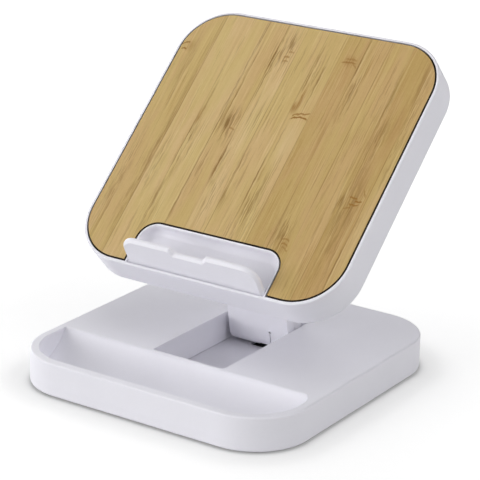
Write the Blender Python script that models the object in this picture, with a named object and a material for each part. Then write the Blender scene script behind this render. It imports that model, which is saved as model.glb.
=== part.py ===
"""Folding wireless charging stand: weighted base with a pen tray and an arm slot,
a short arm hinged at both ends, and a square charging head with a bamboo face
and a flip-out phone lip.  Metres, +Z up, the phone side towards -Y.
The origin is on the floor, under the middle of the base.
"""
import math

import bmesh
import bpy
from mathutils import Matrix

# Clearances
FIT_GAP = 0.00025
FOLD_GAP = 0.0003
OVERRUN = 0.0020

# Facets of round shapes
CORNER_STEPS = 8
EDGE_STEPS = 3
ROUND_STEPS = 16
SCREW_STEPS = 12
SCOOP_STEPS = 10

# Base housing
BASE_SIDE = 0.1100
BASE_HEIGHT = 0.0126
BASE_CORNER_RADIUS = 0.0207
BASE_WALL = 0.0031
SKIRT_WALL = 0.0028
BASE_EDGE_RADIUS = 0.0008
DECK_THICKNESS = 0.0018
SKIRT_LIFT = 0.0004
TRAY_FLOOR_THICKNESS = 0.0009
TRAY_SLOT_WALL = 0.0014
TRAY_BACK_CORNER_RADIUS = 0.0050
SCOOP_WALL = 0.0014
TRAY_FLOOR_WIDTH = 0.0089
SLOT_SIDE_GAP = 0.0021
SLOT_REAR_GAP = 0.0004
SLOT_WALL = 0.0012
SLOT_CORNER_RADIUS = 0.0006
BOSS_RADIUS = 0.0028

# Underside of the base
PAD_INSET = 0.0040
PAD_THICKNESS = 0.0005
COVER_THICKNESS = 0.00085
CUP_FLOOR = 0.0012
CUP_WALL = 0.0016
BASE_SCREW_INSET = 0.0140
TRAY_SCREW_GAP = 0.0075
BALLAST_THICKNESS = 0.0060
BALLAST_SLOT_GAP = 0.0040
BALLAST_SIDE_GAP = 0.0059
BALLAST_SCREW_GAP = 0.0015
BALLAST_CORNER_RADIUS = 0.0030

# Screws
SCREW_RADIUS = 0.0010
SCREW_HEAD_RADIUS = 0.0022
SCREW_HEAD_HEIGHT = 0.0009
SCREW_HEAD_SINK = 0.0001
SCREW_SOCKET_RADIUS = 0.0010
SCREW_SOCKET_DEPTH = 0.0005
SCREW_LENGTH = 0.0060
SCREW_TIP_GAP = 0.0005

# Arm and its two hinges
HINGE_Y = 0.0246
HINGE_Z = 0.0069
ARM_LENGTH = 0.0440
ARM_WIDTH = 0.0254
ARM_ROOT_RADIUS = 0.0049
ARM_TOP_RADIUS = 0.0044
ARM_LEAN = math.radians(11.5)
ARM_WALL = 0.0018
ARM_EAR_CAP = 0.0009
ARM_SCREW_SHARES = (0.36, 0.66)
ARM_RIB = 0.0050
ARM_SCREW_LENGTH = 0.0042
ARM_SCREW_SINK = 0.0005
PIN_RADIUS = 0.0015
KNUCKLE_SWEEP_GAP = 0.0008
ARM_SKIN = 0.0008
SKIN_DROP = 0.0023
SLIT_WIDTH = 0.0003
SLIT_RISE = 0.0020
SLIT_END_RADIUS = 0.0004
WASHER_THICKNESS = 0.0004
WASHER_RADIUS = 0.0034
WASHER_GAP = 0.00015
BASE_KNUCKLE_X = 0.0021
BASE_KNUCKLE_WIDTH = 0.0045
TONGUE_RISE = 0.0004
TONGUE_FOLD_GAP = 0.00035
HEAD_KNUCKLE_WIDTH = 0.0116
HEAD_KNUCKLE_RADIUS = 0.0041
BRACKET_THICKNESS = 0.0015
BRACKET_LENGTH = 0.0080
BRACKET_CORNER_RADIUS = 0.0015
BASE_BRACKET_WIDTH = 0.0240
BASE_BRACKET_SCREW_X = 0.0080
HEAD_BRACKET_WIDTH = 0.0280
HEAD_BRACKET_SCREW_X = 0.0100
HEAD_BRACKET_SCREW_LENGTH = 0.0045
NECK_THICKNESS = 0.0060

# Charging head
HEAD_SIDE = 0.1078
HEAD_THICKNESS = 0.0128
HEAD_CORNER_RADIUS = 0.0188
HEAD_TILT = math.radians(42.65)
HEAD_WALL = 0.0022
HEAD_EDGE_RADIUS = 0.0006
HEAD_WEB = 0.0012
HEAD_COVER_THICKNESS = 0.0020
HEAD_SCREW_INSET = 0.0114
RIM_WIDTH = 0.00105
SEAM = 0.0006
BAMBOO_THICKNESS = 0.0015
BAMBOO_SINK = 0.0001
CUTOUT_WIDTH = 0.0590
CUTOUT_HEIGHT = 0.0184
CUTOUT_RADIUS = 0.0074

# Phone lip and its bay
BAY_RIM = 0.0007
BAY_FRONT_WALL = 0.0007
BAY_FLOOR = 0.0010
BAY_SIDE_WALL = 0.0020
LIP_GAP = 0.00025
LIP_SINK = 0.0001
LIP_FINGER_GAP = 0.0014
LIP_BARREL_RADIUS = 0.0020
LIP_THICKNESS = 0.0020
LIP_LEAN = math.radians(13)
LIP_EDGE = 0.0010
LIP_PIN_RADIUS = 0.00075
LIP_PIN_HOLD = 0.0009
NOTCH_WIDTH = 0.0182
NOTCH_FLOOR_WIDTH = 0.0124
NOTCH_DEPTH = 0.0020

# Charging electronics
COIL_RADIUS = 0.0210
COIL_HOLE_RADIUS = 0.0100
COIL_THICKNESS = 0.0010
COIL_GAP = 0.0014
FERRITE_SIDE = 0.0440
FERRITE_THICKNESS = 0.0008
FERRITE_CORNER_RADIUS = 0.0020
BOARD_WIDTH = 0.0400
BOARD_LENGTH = 0.0170
BOARD_THICKNESS = 0.0010
BOARD_CORNER_RADIUS = 0.0010
PORT_WIDTH = 0.0089
PORT_HEIGHT = 0.0032
PORT_LENGTH = 0.0070
PORT_WALL = 0.00035
PORT_BACK = 0.0008
PORT_RECESS = 0.0003
PORT_TONGUE_WIDTH = 0.0067
PORT_TONGUE_THICKNESS = 0.0007
PORT_TONGUE_LENGTH = 0.0048

# Heights of the base's layers
COVER_BOTTOM = PAD_THICKNESS + FIT_GAP
COVER_TOP = COVER_BOTTOM + COVER_THICKNESS
INSIDE_FLOOR = COVER_TOP + FIT_GAP
DECK_UNDERSIDE = BASE_HEIGHT - DECK_THICKNESS
TRAY_FLOOR = INSIDE_FLOOR + TRAY_FLOOR_THICKNESS
SCREW_SEAT = SCREW_HEAD_SINK + SCREW_HEAD_HEIGHT + FIT_GAP
CUP_TOP = COVER_BOTTOM + SCREW_SEAT + CUP_FLOOR
CUP_RADIUS = SCREW_HEAD_RADIUS + FIT_GAP + CUP_WALL
BASE_BRACKET_BOTTOM = INSIDE_FLOOR + SCREW_HEAD_HEIGHT + FIT_GAP
BASE_BRACKET_TOP = BASE_BRACKET_BOTTOM + BRACKET_THICKNESS
TONGUE_TOP = HINGE_Z - SKIN_DROP + TONGUE_RISE

# Plan of the slot and the tray
WASHER_SPACE = WASHER_THICKNESS + 2 * WASHER_GAP
BASE_KNUCKLE_RADIUS = ARM_ROOT_RADIUS - ARM_SKIN - FOLD_GAP
BASE_KNUCKLE_LEFT = BASE_KNUCKLE_X - BASE_KNUCKLE_WIDTH / 2
BASE_KNUCKLE_RIGHT = BASE_KNUCKLE_X + BASE_KNUCKLE_WIDTH / 2
ROOT_FORK_LEFT = BASE_KNUCKLE_LEFT - WASHER_SPACE
ROOT_FORK_RIGHT = BASE_KNUCKLE_RIGHT + WASHER_SPACE
TOP_FORK_HALF = HEAD_KNUCKLE_WIDTH / 2 + WASHER_SPACE
SLOT_HALF = ARM_WIDTH / 2 + SLOT_SIDE_GAP
SLOT_FRONT_Y = HINGE_Y - ARM_LENGTH - ARM_TOP_RADIUS - FOLD_GAP
SLOT_REAR_Y = HINGE_Y + ARM_ROOT_RADIUS + SLOT_REAR_GAP
TRAY_BACK_Y = SLOT_FRONT_Y - TRAY_SLOT_WALL
BASE_INNER_HALF = BASE_SIDE / 2 - BASE_WALL
BASE_INNER_RADIUS = BASE_CORNER_RADIUS - BASE_WALL
SCOOP_DEPTH = BASE_HEIGHT - TRAY_FLOOR
SCOOP_START_Y = TRAY_FLOOR_WIDTH - BASE_INNER_HALF
SCOOP_RUN = TRAY_BACK_Y - SCOOP_START_Y
SCOOP_RADIUS = (SCOOP_RUN * SCOOP_RUN / SCOOP_DEPTH + SCOOP_DEPTH) / 2
BASE_BRACKET_FRONT_Y = SLOT_REAR_Y + SLOT_WALL + FIT_GAP
BASE_BRACKET_Y = BASE_BRACKET_FRONT_Y + BRACKET_LENGTH / 2
BASE_SCREW_X = BASE_SIDE / 2 - BASE_SCREW_INSET
BASE_FRONT_SCREW_Y = TRAY_BACK_Y + TRAY_SCREW_GAP
BASE_REAR_SCREW_Y = BASE_SIDE / 2 - BASE_SCREW_INSET
BALLAST_INNER_X = SLOT_HALF + SLOT_WALL + BALLAST_SLOT_GAP
BALLAST_OUTER_X = BASE_INNER_HALF - BALLAST_SIDE_GAP
BALLAST_FRONT_Y = BASE_FRONT_SCREW_Y + CUP_RADIUS + BALLAST_SCREW_GAP
BALLAST_REAR_Y = BASE_REAR_SCREW_Y - CUP_RADIUS - BALLAST_SCREW_GAP

# Head places, measured from the hinge that carries it
HEAD_CENTRE_Y = ARM_LENGTH - HINGE_Y
HEAD_BACK_Z = BASE_HEIGHT + FOLD_GAP - HINGE_Z
HEAD_FACE_Z = HEAD_BACK_Z + HEAD_THICKNESS
HEAD_FOOT_Y = HEAD_CENTRE_Y - HEAD_SIDE / 2
HEAD_CREST_Y = HEAD_CENTRE_Y + HEAD_SIDE / 2
HEAD_SCREW_OFFSET = HEAD_SIDE / 2 - HEAD_SCREW_INSET
HEAD_COVER_TOP = HEAD_BACK_Z + HEAD_COVER_THICKNESS
BAMBOO_TOP = HEAD_FACE_Z - BAMBOO_SINK
BAMBOO_BOTTOM = BAMBOO_TOP - BAMBOO_THICKNESS
POCKET_FLOOR = BAMBOO_BOTTOM - FIT_GAP
WEB_BOTTOM = POCKET_FLOOR - HEAD_WEB
HEAD_BRACKET_BOTTOM = HEAD_COVER_TOP + FIT_GAP + SCREW_HEAD_HEIGHT + FIT_GAP
HEAD_BRACKET_TOP = HEAD_BRACKET_BOTTOM + BRACKET_THICKNESS
ISLAND_WIDTH = CUTOUT_WIDTH - 2 * SEAM
ISLAND_HEIGHT = CUTOUT_HEIGHT - SEAM
BAY_WIDTH = ISLAND_WIDTH - 2 * BAY_RIM
BAY_TOP_Y = HEAD_FOOT_Y + ISLAND_HEIGHT - BAY_RIM
BAY_BOTTOM_Y = HEAD_FOOT_Y + BAY_FRONT_WALL
LIP_AXIS_Y = BAY_BOTTOM_Y + LIP_GAP + LIP_BARREL_RADIUS
LIP_AXIS_Z = HEAD_FACE_Z - LIP_SINK - LIP_BARREL_RADIUS
BAY_FLOOR_Z = LIP_AXIS_Z - LIP_BARREL_RADIUS - LIP_GAP
LIP_WIDTH = BAY_WIDTH - 2 * LIP_GAP
LIP_LENGTH = BAY_TOP_Y - LIP_FINGER_GAP - LIP_AXIS_Y
LIP_CORNER_RADIUS = CUTOUT_RADIUS - SEAM - BAY_RIM - LIP_GAP
COIL_Y = BRACKET_LENGTH / 2 + COIL_GAP + FERRITE_SIDE / 2
COIL_TOP = WEB_BOTTOM - FIT_GAP
FERRITE_TOP = COIL_TOP - COIL_THICKNESS - FIT_GAP
BOARD_BOTTOM = HEAD_COVER_TOP + FIT_GAP
BOARD_TOP = BOARD_BOTTOM + BOARD_THICKNESS
BOARD_Y = HEAD_CREST_Y - HEAD_WALL - FIT_GAP - BOARD_LENGTH / 2
PORT_Z = BOARD_TOP + FIT_GAP + PORT_HEIGHT / 2
PORT_MOUTH_Y = HEAD_CREST_Y - PORT_RECESS


def clear_scene():
    """Remove every object that the file opened with."""
    for thing in list(bpy.data.objects):
        bpy.data.objects.remove(thing, do_unlink=True)


def make_material(name, color, roughness, metallic=0.0):
    """A plain surface with one colour."""
    material = bpy.data.materials.new(name)
    material.use_nodes = True
    shader = material.node_tree.nodes["Principled BSDF"]
    shader.inputs["Base Color"].default_value = (*color, 1.0)
    shader.inputs["Roughness"].default_value = roughness
    shader.inputs["Metallic"].default_value = metallic
    material.diffuse_color = (*color, 1.0)
    return material


def make_axis(name, parent, location, angle):
    """An empty on a hinge axis, turned about X."""
    axis = bpy.data.objects.new(name, None)
    bpy.context.scene.collection.objects.link(axis)
    axis.parent = parent
    axis.location = location
    axis.rotation_euler = (angle, 0, 0)
    return axis


def make_object(name, parent, mesh_builder, material=None):
    """An object under its axis, filled by a bmesh builder."""
    mesh = bpy.data.meshes.new(name)
    shape = bmesh.new()
    mesh_builder(shape)
    bmesh.ops.recalc_face_normals(shape, faces=shape.faces)
    shape.to_mesh(mesh)
    shape.free()
    mesh.shade_smooth()
    mesh.set_sharp_from_angle(angle=math.radians(30))
    thing = bpy.data.objects.new(name, mesh)
    bpy.context.scene.collection.objects.link(thing)
    thing.parent = parent
    if material:
        mesh.materials.append(material)
    return thing


def make_tool(name, parent, mesh_builder):
    """A hidden shape that cuts or joins another one."""
    tool = make_object(name, parent, mesh_builder)
    tool.hide_render = True
    tool.display_type = "WIRE"
    return tool


def apply_tool(target, tool, operation):
    """Cut with, join with or keep only what lies in the tool."""
    modifier = target.modifiers.new(tool.name, "BOOLEAN")
    modifier.operation = operation
    modifier.solver = "EXACT"
    modifier.object = tool


def cut(target, name, mesh_builder):
    """Cut a shape out of the target."""
    apply_tool(target, make_tool(name, target.parent, mesh_builder), "DIFFERENCE")


def join(target, name, mesh_builder):
    """Add a shape to the target."""
    apply_tool(target, make_tool(name, target.parent, mesh_builder), "UNION")


def keep(target, name, mesh_builder):
    """Keep only the part of the target inside a shape."""
    apply_tool(target, make_tool(name, target.parent, mesh_builder), "INTERSECT")


def arc(centre_u, centre_v, radius, start, end, steps):
    """Points along an arc, both ends included."""
    points = []
    for step in range(steps + 1):
        angle = start + (end - start) * step / steps
        points.append((centre_u + radius * math.cos(angle), centre_v + radius * math.sin(angle)))
    return points


def corner_box(low_u, high_u, low_v, high_v, low_radius, high_radius):
    """Outline of a box whose lower and upper corners have their own radii."""
    quarter = math.pi / 2
    points = arc(high_u - high_radius, high_v - high_radius, high_radius, 0, quarter, CORNER_STEPS)
    points += arc(low_u + high_radius, high_v - high_radius, high_radius, quarter, 2 * quarter, CORNER_STEPS)
    points += arc(low_u + low_radius, low_v + low_radius, low_radius, 2 * quarter, 3 * quarter, CORNER_STEPS)
    points += arc(high_u - low_radius, low_v + low_radius, low_radius, 3 * quarter, 4 * quarter, CORNER_STEPS)
    return points


def rounded_square(side, radius, centre_y=0):
    """Outline of a square with round corners."""
    half = side / 2
    return corner_box(-half, half, centre_y - half, centre_y + half, radius, radius)


def rounded_rectangle(width, length, radius, centre_x=0, centre_y=0):
    """Outline of a rectangle with round corners."""
    return corner_box(centre_x - width / 2, centre_x + width / 2,
                      centre_y - length / 2, centre_y + length / 2, radius, radius)


def add_loft(shape, rings):
    """Close a stack of rings of equally many points."""
    levels = [[shape.verts.new(point) for point in ring] for ring in rings]
    for lower, upper in zip(levels, levels[1:]):
        for index, vertex in enumerate(lower):
            after = (index + 1) % len(lower)
            shape.faces.new((vertex, lower[after], upper[after], upper[index]))
    shape.faces.new(list(reversed(levels[0])))
    shape.faces.new(levels[-1])


def add_plate(shape, outline, bottom, top):
    """Extrude an outline in plan between two heights."""
    add_loft(shape, [[(x, y, z) for x, y in outline] for z in (bottom, top)])


def add_side_profile(shape, outline, left, right):
    """Extrude an outline of (y, z) points along X."""
    add_loft(shape, [[(x, y, z) for y, z in outline] for x in (left, right)])


def add_front_profile(shape, outline, near, far):
    """Extrude an outline of (x, z) points along Y."""
    add_loft(shape, [[(x, y, z) for x, z in outline] for y in (near, far)])


def add_box(shape, low, high):
    """A block between two corners."""
    outline = [(low[0], low[1]), (high[0], low[1]), (high[0], high[1]), (low[0], high[1])]
    add_plate(shape, outline, low[2], high[2])


def add_disc_z(shape, x, y, radius, bottom, top):
    """An upright cylinder."""
    outline = arc(x, y, radius, 0, 2 * math.pi, ROUND_STEPS)[:-1]
    add_plate(shape, outline, bottom, top)


def add_disc_x(shape, y, z, radius, left, right):
    """A cylinder along X."""
    outline = arc(y, z, radius, 0, 2 * math.pi, ROUND_STEPS)[:-1]
    add_side_profile(shape, outline, left, right)


def add_disc_y(shape, x, z, radius, near, far):
    """A cylinder along Y."""
    outline = arc(x, z, radius, 0, 2 * math.pi, ROUND_STEPS)[:-1]
    add_front_profile(shape, outline, near, far)


def add_soft_block(shape, side, radius, edge, bottom, top, centre_y=0):
    """A rounded square block whose top and bottom edges are rounded over."""
    levels = []
    for step in range(EDGE_STEPS + 1):
        angle = math.pi / 2 * step / EDGE_STEPS
        levels.append((bottom + edge * (1 - math.cos(angle)), edge * (1 - math.sin(angle))))
    for step in range(EDGE_STEPS + 1):
        angle = math.pi / 2 * step / EDGE_STEPS
        levels.append((top - edge * (1 - math.sin(angle)), edge * (1 - math.cos(angle))))
    rings = []
    for height, inset in levels:
        outline = rounded_square(side - 2 * inset, radius - inset, centre_y)
        rings.append([(x, y, height) for x, y in outline])
    add_loft(shape, rings)


def add_screw(shape, tip, head_base):
    """A pan-head screw pointing up along Z from the origin of its object."""
    shank = arc(0, 0, SCREW_RADIUS, 0, 2 * math.pi, SCREW_STEPS)[:-1]
    rim = arc(0, 0, SCREW_HEAD_RADIUS, 0, 2 * math.pi, SCREW_STEPS)[:-1]
    socket = arc(0, 0, SCREW_SOCKET_RADIUS, 0, 2 * math.pi, SCREW_STEPS)[:-1]
    head_top = head_base + SCREW_HEAD_HEIGHT
    floor = head_base + SCREW_SOCKET_DEPTH
    rings = [(socket, floor), (socket, head_base), (rim, head_base), (rim, head_top), (shank, head_top),
             (shank, tip)]
    add_loft(shape, [[(x, y, z) for x, y in ring] for ring, z in rings])


def make_screw(name, parent, location, direction, length, material):
    """A screw whose head starts at a point and whose shank runs along a direction."""
    screw = make_object(name, parent,
                        lambda shape: add_screw(shape, SCREW_HEAD_HEIGHT + length, 0), material)
    screw.matrix_local = Matrix.Translation(location) @ direction
    return screw


def scoop_profile(radius_growth, back_y, floor):
    """Side outline of the tray: a flat floor that sweeps up in an arc to the deck."""
    radius = SCOOP_RADIUS + radius_growth
    centre_z = TRAY_FLOOR + SCOOP_RADIUS
    reach = centre_z - BASE_HEIGHT
    end = -math.acos(reach / radius)
    points = [(back_y, BASE_HEIGHT + OVERRUN), (-BASE_SIDE / 2, BASE_HEIGHT + OVERRUN)]
    points.append((-BASE_SIDE / 2, floor))
    points += arc(SCOOP_START_Y, centre_z, radius, -math.pi / 2, -math.pi / 2 - end, SCOOP_STEPS)
    return points


def base_screw_places():
    """Plan places of the screws that close the base."""
    return [(side * BASE_SCREW_X, y) for y in (BASE_FRONT_SCREW_Y, BASE_REAR_SCREW_Y) for side in (-1, 1)]


def build_base_housing(parent, material):
    """Upper casing: skirt, deck, scooped pen tray, arm slot and screw bosses."""
    housing = make_object("base_housing", parent, lambda shape: add_soft_block(
        shape, BASE_SIDE, BASE_CORNER_RADIUS, BASE_EDGE_RADIUS, SKIRT_LIFT, BASE_HEIGHT), material)
    inner = rounded_square(BASE_SIDE - 2 * SKIRT_WALL, BASE_CORNER_RADIUS - SKIRT_WALL)
    cut(housing, "housing_cavity", lambda shape: add_plate(shape, inner, -OVERRUN, DECK_UNDERSIDE))

    def tray_shell(shape):
        profile = scoop_profile(SCOOP_WALL, TRAY_BACK_Y + SCOOP_WALL, INSIDE_FLOOR)
        limited = [(y, min(z, DECK_UNDERSIDE + DECK_THICKNESS / 2)) for y, z in profile]
        lifted = [(y, max(z, INSIDE_FLOOR)) for y, z in limited]
        add_side_profile(shape, lifted, -BASE_SIDE / 2 + BASE_WALL / 2, BASE_SIDE / 2 - BASE_WALL / 2)

    shell = make_tool("tray_shell", parent, tray_shell)
    shell_plan = rounded_square(BASE_SIDE - BASE_WALL, BASE_CORNER_RADIUS - BASE_WALL / 2)
    keep(shell, "tray_shell_plan", lambda shape: add_plate(shape, shell_plan, 0, BASE_HEIGHT))
    apply_tool(housing, shell, "UNION")

    slot_length = SLOT_REAR_Y - SLOT_FRONT_Y
    slot_middle = (SLOT_REAR_Y + SLOT_FRONT_Y) / 2
    wall_outline = rounded_rectangle(2 * (SLOT_HALF + SLOT_WALL), slot_length + 2 * SLOT_WALL,
                                     SLOT_CORNER_RADIUS + SLOT_WALL, 0, slot_middle)
    join(housing, "slot_walls", lambda shape: add_plate(
        shape, wall_outline, INSIDE_FLOOR, DECK_UNDERSIDE + DECK_THICKNESS / 2))

    def bosses(shape):
        top = DECK_UNDERSIDE + DECK_THICKNESS / 2
        for x, y in base_screw_places():
            add_disc_z(shape, x, y, BOSS_RADIUS, CUP_TOP + FIT_GAP, top)
        for side in (-1, 1):
            add_disc_z(shape, side * BASE_BRACKET_SCREW_X, BASE_BRACKET_Y, BOSS_RADIUS,
                       BASE_BRACKET_TOP + FIT_GAP, top)

    join(housing, "housing_bosses", bosses)

    tray = make_tool("tray_hollow", parent, lambda shape: add_side_profile(
        shape, scoop_profile(0, TRAY_BACK_Y, TRAY_FLOOR), -BASE_SIDE / 2, BASE_SIDE / 2))
    tray_plan = corner_box(-BASE_INNER_HALF, BASE_INNER_HALF, -BASE_INNER_HALF, TRAY_BACK_Y,
                           BASE_INNER_RADIUS, TRAY_BACK_CORNER_RADIUS)
    keep(tray, "tray_plan", lambda shape: add_plate(shape, tray_plan, 0, BASE_HEIGHT + OVERRUN / 2))
    apply_tool(housing, tray, "DIFFERENCE")

    slot_outline = rounded_rectangle(2 * SLOT_HALF, slot_length, SLOT_CORNER_RADIUS, 0, slot_middle)
    cut(housing, "slot_hollow", lambda shape: add_plate(shape, slot_outline, 0, BASE_HEIGHT + OVERRUN))

    cut(housing, "bracket_notch", lambda shape: add_box(
        shape, (BASE_KNUCKLE_LEFT - FIT_GAP, SLOT_REAR_Y - OVERRUN, 0),
        (BASE_KNUCKLE_RIGHT + FIT_GAP, SLOT_REAR_Y + SLOT_WALL + OVERRUN, TONGUE_TOP + FIT_GAP)))

    def screw_bores(shape):
        radius = SCREW_RADIUS + FIT_GAP
        for x, y in base_screw_places():
            add_disc_z(shape, x, y, radius, 0,
                       COVER_BOTTOM + SCREW_HEAD_HEIGHT + SCREW_LENGTH + SCREW_TIP_GAP)
        for side in (-1, 1):
            add_disc_z(shape, side * BASE_BRACKET_SCREW_X, BASE_BRACKET_Y, radius, 0,
                       BASE_BRACKET_BOTTOM + SCREW_LENGTH + SCREW_TIP_GAP)

    cut(housing, "housing_bores", screw_bores)
    return housing


def build_base_underside(parent, plastic, rubber, steel):
    """Bottom cover with screw cups, anti-slip pad, ballast plates and cover screws."""
    cover_side = BASE_SIDE - 2 * (SKIRT_WALL + FIT_GAP)
    cover_radius = BASE_CORNER_RADIUS - SKIRT_WALL - FIT_GAP
    cover_outline = rounded_square(cover_side, cover_radius)
    cover = make_object("base_bottom_cover", parent, lambda shape: add_plate(
        shape, cover_outline, COVER_BOTTOM, COVER_TOP), plastic)

    def cups(shape):
        for x, y in base_screw_places():
            add_disc_z(shape, x, y, CUP_RADIUS, COVER_BOTTOM + COVER_THICKNESS / 2, CUP_TOP)

    def seats(shape):
        for x, y in base_screw_places():
            add_disc_z(shape, x, y, SCREW_HEAD_RADIUS + FIT_GAP, 0, COVER_BOTTOM + SCREW_SEAT)

    def holes(shape):
        for x, y in base_screw_places():
            add_disc_z(shape, x, y, SCREW_RADIUS + FIT_GAP, 0, CUP_TOP + OVERRUN)

    join(cover, "cover_cups", cups)
    cut(cover, "cover_seats", seats)
    cut(cover, "cover_holes", holes)

    pad_outline = rounded_square(BASE_SIDE - 2 * PAD_INSET, BASE_CORNER_RADIUS - PAD_INSET)
    make_object("anti_slip_pad", parent, lambda shape: add_plate(
        shape, pad_outline, 0, PAD_THICKNESS), rubber)

    for side, label in ((-1, "left"), (1, "right")):
        middle_x = side * (BALLAST_OUTER_X + BALLAST_INNER_X) / 2
        outline = rounded_rectangle(BALLAST_OUTER_X - BALLAST_INNER_X, BALLAST_REAR_Y - BALLAST_FRONT_Y,
                                    BALLAST_CORNER_RADIUS, middle_x, (BALLAST_REAR_Y + BALLAST_FRONT_Y) / 2)
        make_object("ballast_plate_" + label, parent, lambda shape: add_plate(
            shape, outline, INSIDE_FLOOR, INSIDE_FLOOR + BALLAST_THICKNESS), steel)

    for number, (x, y) in enumerate(base_screw_places(), start=1):
        make_screw("base_cover_screw_%d" % number, parent, (x, y, COVER_BOTTOM + SCREW_HEAD_SINK),
                   Matrix.Identity(4), SCREW_LENGTH, steel)


def build_base_bracket(parent, steel):
    """Hinge bracket that holds the arm: knuckle, tongue and cross plate, with its screws."""
    bracket = make_object("base_hinge_bracket", parent, lambda shape: add_disc_x(
        shape, HINGE_Y, HINGE_Z, BASE_KNUCKLE_RADIUS, BASE_KNUCKLE_LEFT, BASE_KNUCKLE_RIGHT), steel)
    plate = rounded_rectangle(BASE_BRACKET_WIDTH, BRACKET_LENGTH, BRACKET_CORNER_RADIUS, 0, BASE_BRACKET_Y)
    join(bracket, "base_bracket_plate", lambda shape: add_plate(
        shape, plate, BASE_BRACKET_BOTTOM, BASE_BRACKET_TOP))
    join(bracket, "base_bracket_tongue", lambda shape: add_box(
        shape, (BASE_KNUCKLE_LEFT, HINGE_Y + SKIN_DROP + TONGUE_FOLD_GAP, BASE_BRACKET_BOTTOM),
        (BASE_KNUCKLE_RIGHT, BASE_BRACKET_Y, TONGUE_TOP)))

    def bores(shape):
        add_disc_x(shape, HINGE_Y, HINGE_Z, PIN_RADIUS + FIT_GAP, ROOT_FORK_LEFT, ROOT_FORK_RIGHT)
        for side in (-1, 1):
            add_disc_z(shape, side * BASE_BRACKET_SCREW_X, BASE_BRACKET_Y, SCREW_RADIUS + FIT_GAP,
                       0, BASE_HEIGHT)

    cut(bracket, "base_bracket_bores", bores)
    for number, side in enumerate((-1, 1), start=1):
        make_screw("base_bracket_screw_%d" % number, parent,
                   (side * BASE_BRACKET_SCREW_X, BASE_BRACKET_Y, INSIDE_FLOOR), Matrix.Identity(4),
                   SCREW_LENGTH, steel)


def build_hinge_pin(name, parent, centre, material):
    """A pin through both ears of the arm."""
    half = ARM_WIDTH / 2 - ARM_EAR_CAP - FIT_GAP
    make_object(name, parent, lambda shape: add_disc_x(
        shape, centre[0], centre[1], PIN_RADIUS, -half, half), material)


def build_washers(name, parent, centre, middle, knuckle_width, material):
    """A friction washer on each side of a knuckle; centre is its axis in (y, z), middle its place along X."""
    outer = arc(centre[0], centre[1], WASHER_RADIUS, 0, 2 * math.pi, ROUND_STEPS)[:-1]
    bore = arc(centre[0], centre[1], PIN_RADIUS + FIT_GAP, 0, 2 * math.pi, ROUND_STEPS)[:-1]
    near = knuckle_width / 2 + WASHER_GAP
    far = near + WASHER_THICKNESS
    for side, label in ((-1, "left"), (1, "right")):

        def ring(shape):
            count = len(outer)
            loops = [(outer, near), (outer, far), (bore, far), (bore, near)]
            levels = [[shape.verts.new((middle + side * x, y, z)) for y, z in loop] for loop, x in loops]
            for level, following in zip(levels, levels[1:] + levels[:1]):
                for index in range(count):
                    after = (index + 1) % count
                    shape.faces.new((level[index], level[after], following[after], following[index]))

        make_object("%s_washer_%s" % (name, label), parent, ring, material)


def arm_outline():
    """Side outline of the arm: two round ends joined by straight, slightly tapered flanks."""
    lean = math.asin((ARM_ROOT_RADIUS - ARM_TOP_RADIUS) / ARM_LENGTH)
    steps = ROUND_STEPS
    points = arc(0, ARM_LENGTH, ARM_TOP_RADIUS, lean, math.pi - lean, steps)
    points += arc(0, 0, ARM_ROOT_RADIUS, math.pi - lean, 2 * math.pi + lean, steps)
    return points


def arm_pockets():
    """Spans along the arm that are hollow, between its ribs and forks."""
    root = ARM_ROOT_RADIUS + ARM_WALL + KNUCKLE_SWEEP_GAP
    top = ARM_LENGTH - HEAD_KNUCKLE_RADIUS - KNUCKLE_SWEEP_GAP - ARM_WALL
    ribs = [ARM_LENGTH * share for share in ARM_SCREW_SHARES]
    starts = [root] + [rib + ARM_RIB / 2 for rib in ribs]
    ends = [rib - ARM_RIB / 2 for rib in ribs] + [top]
    return list(zip(starts, ends))


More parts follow.
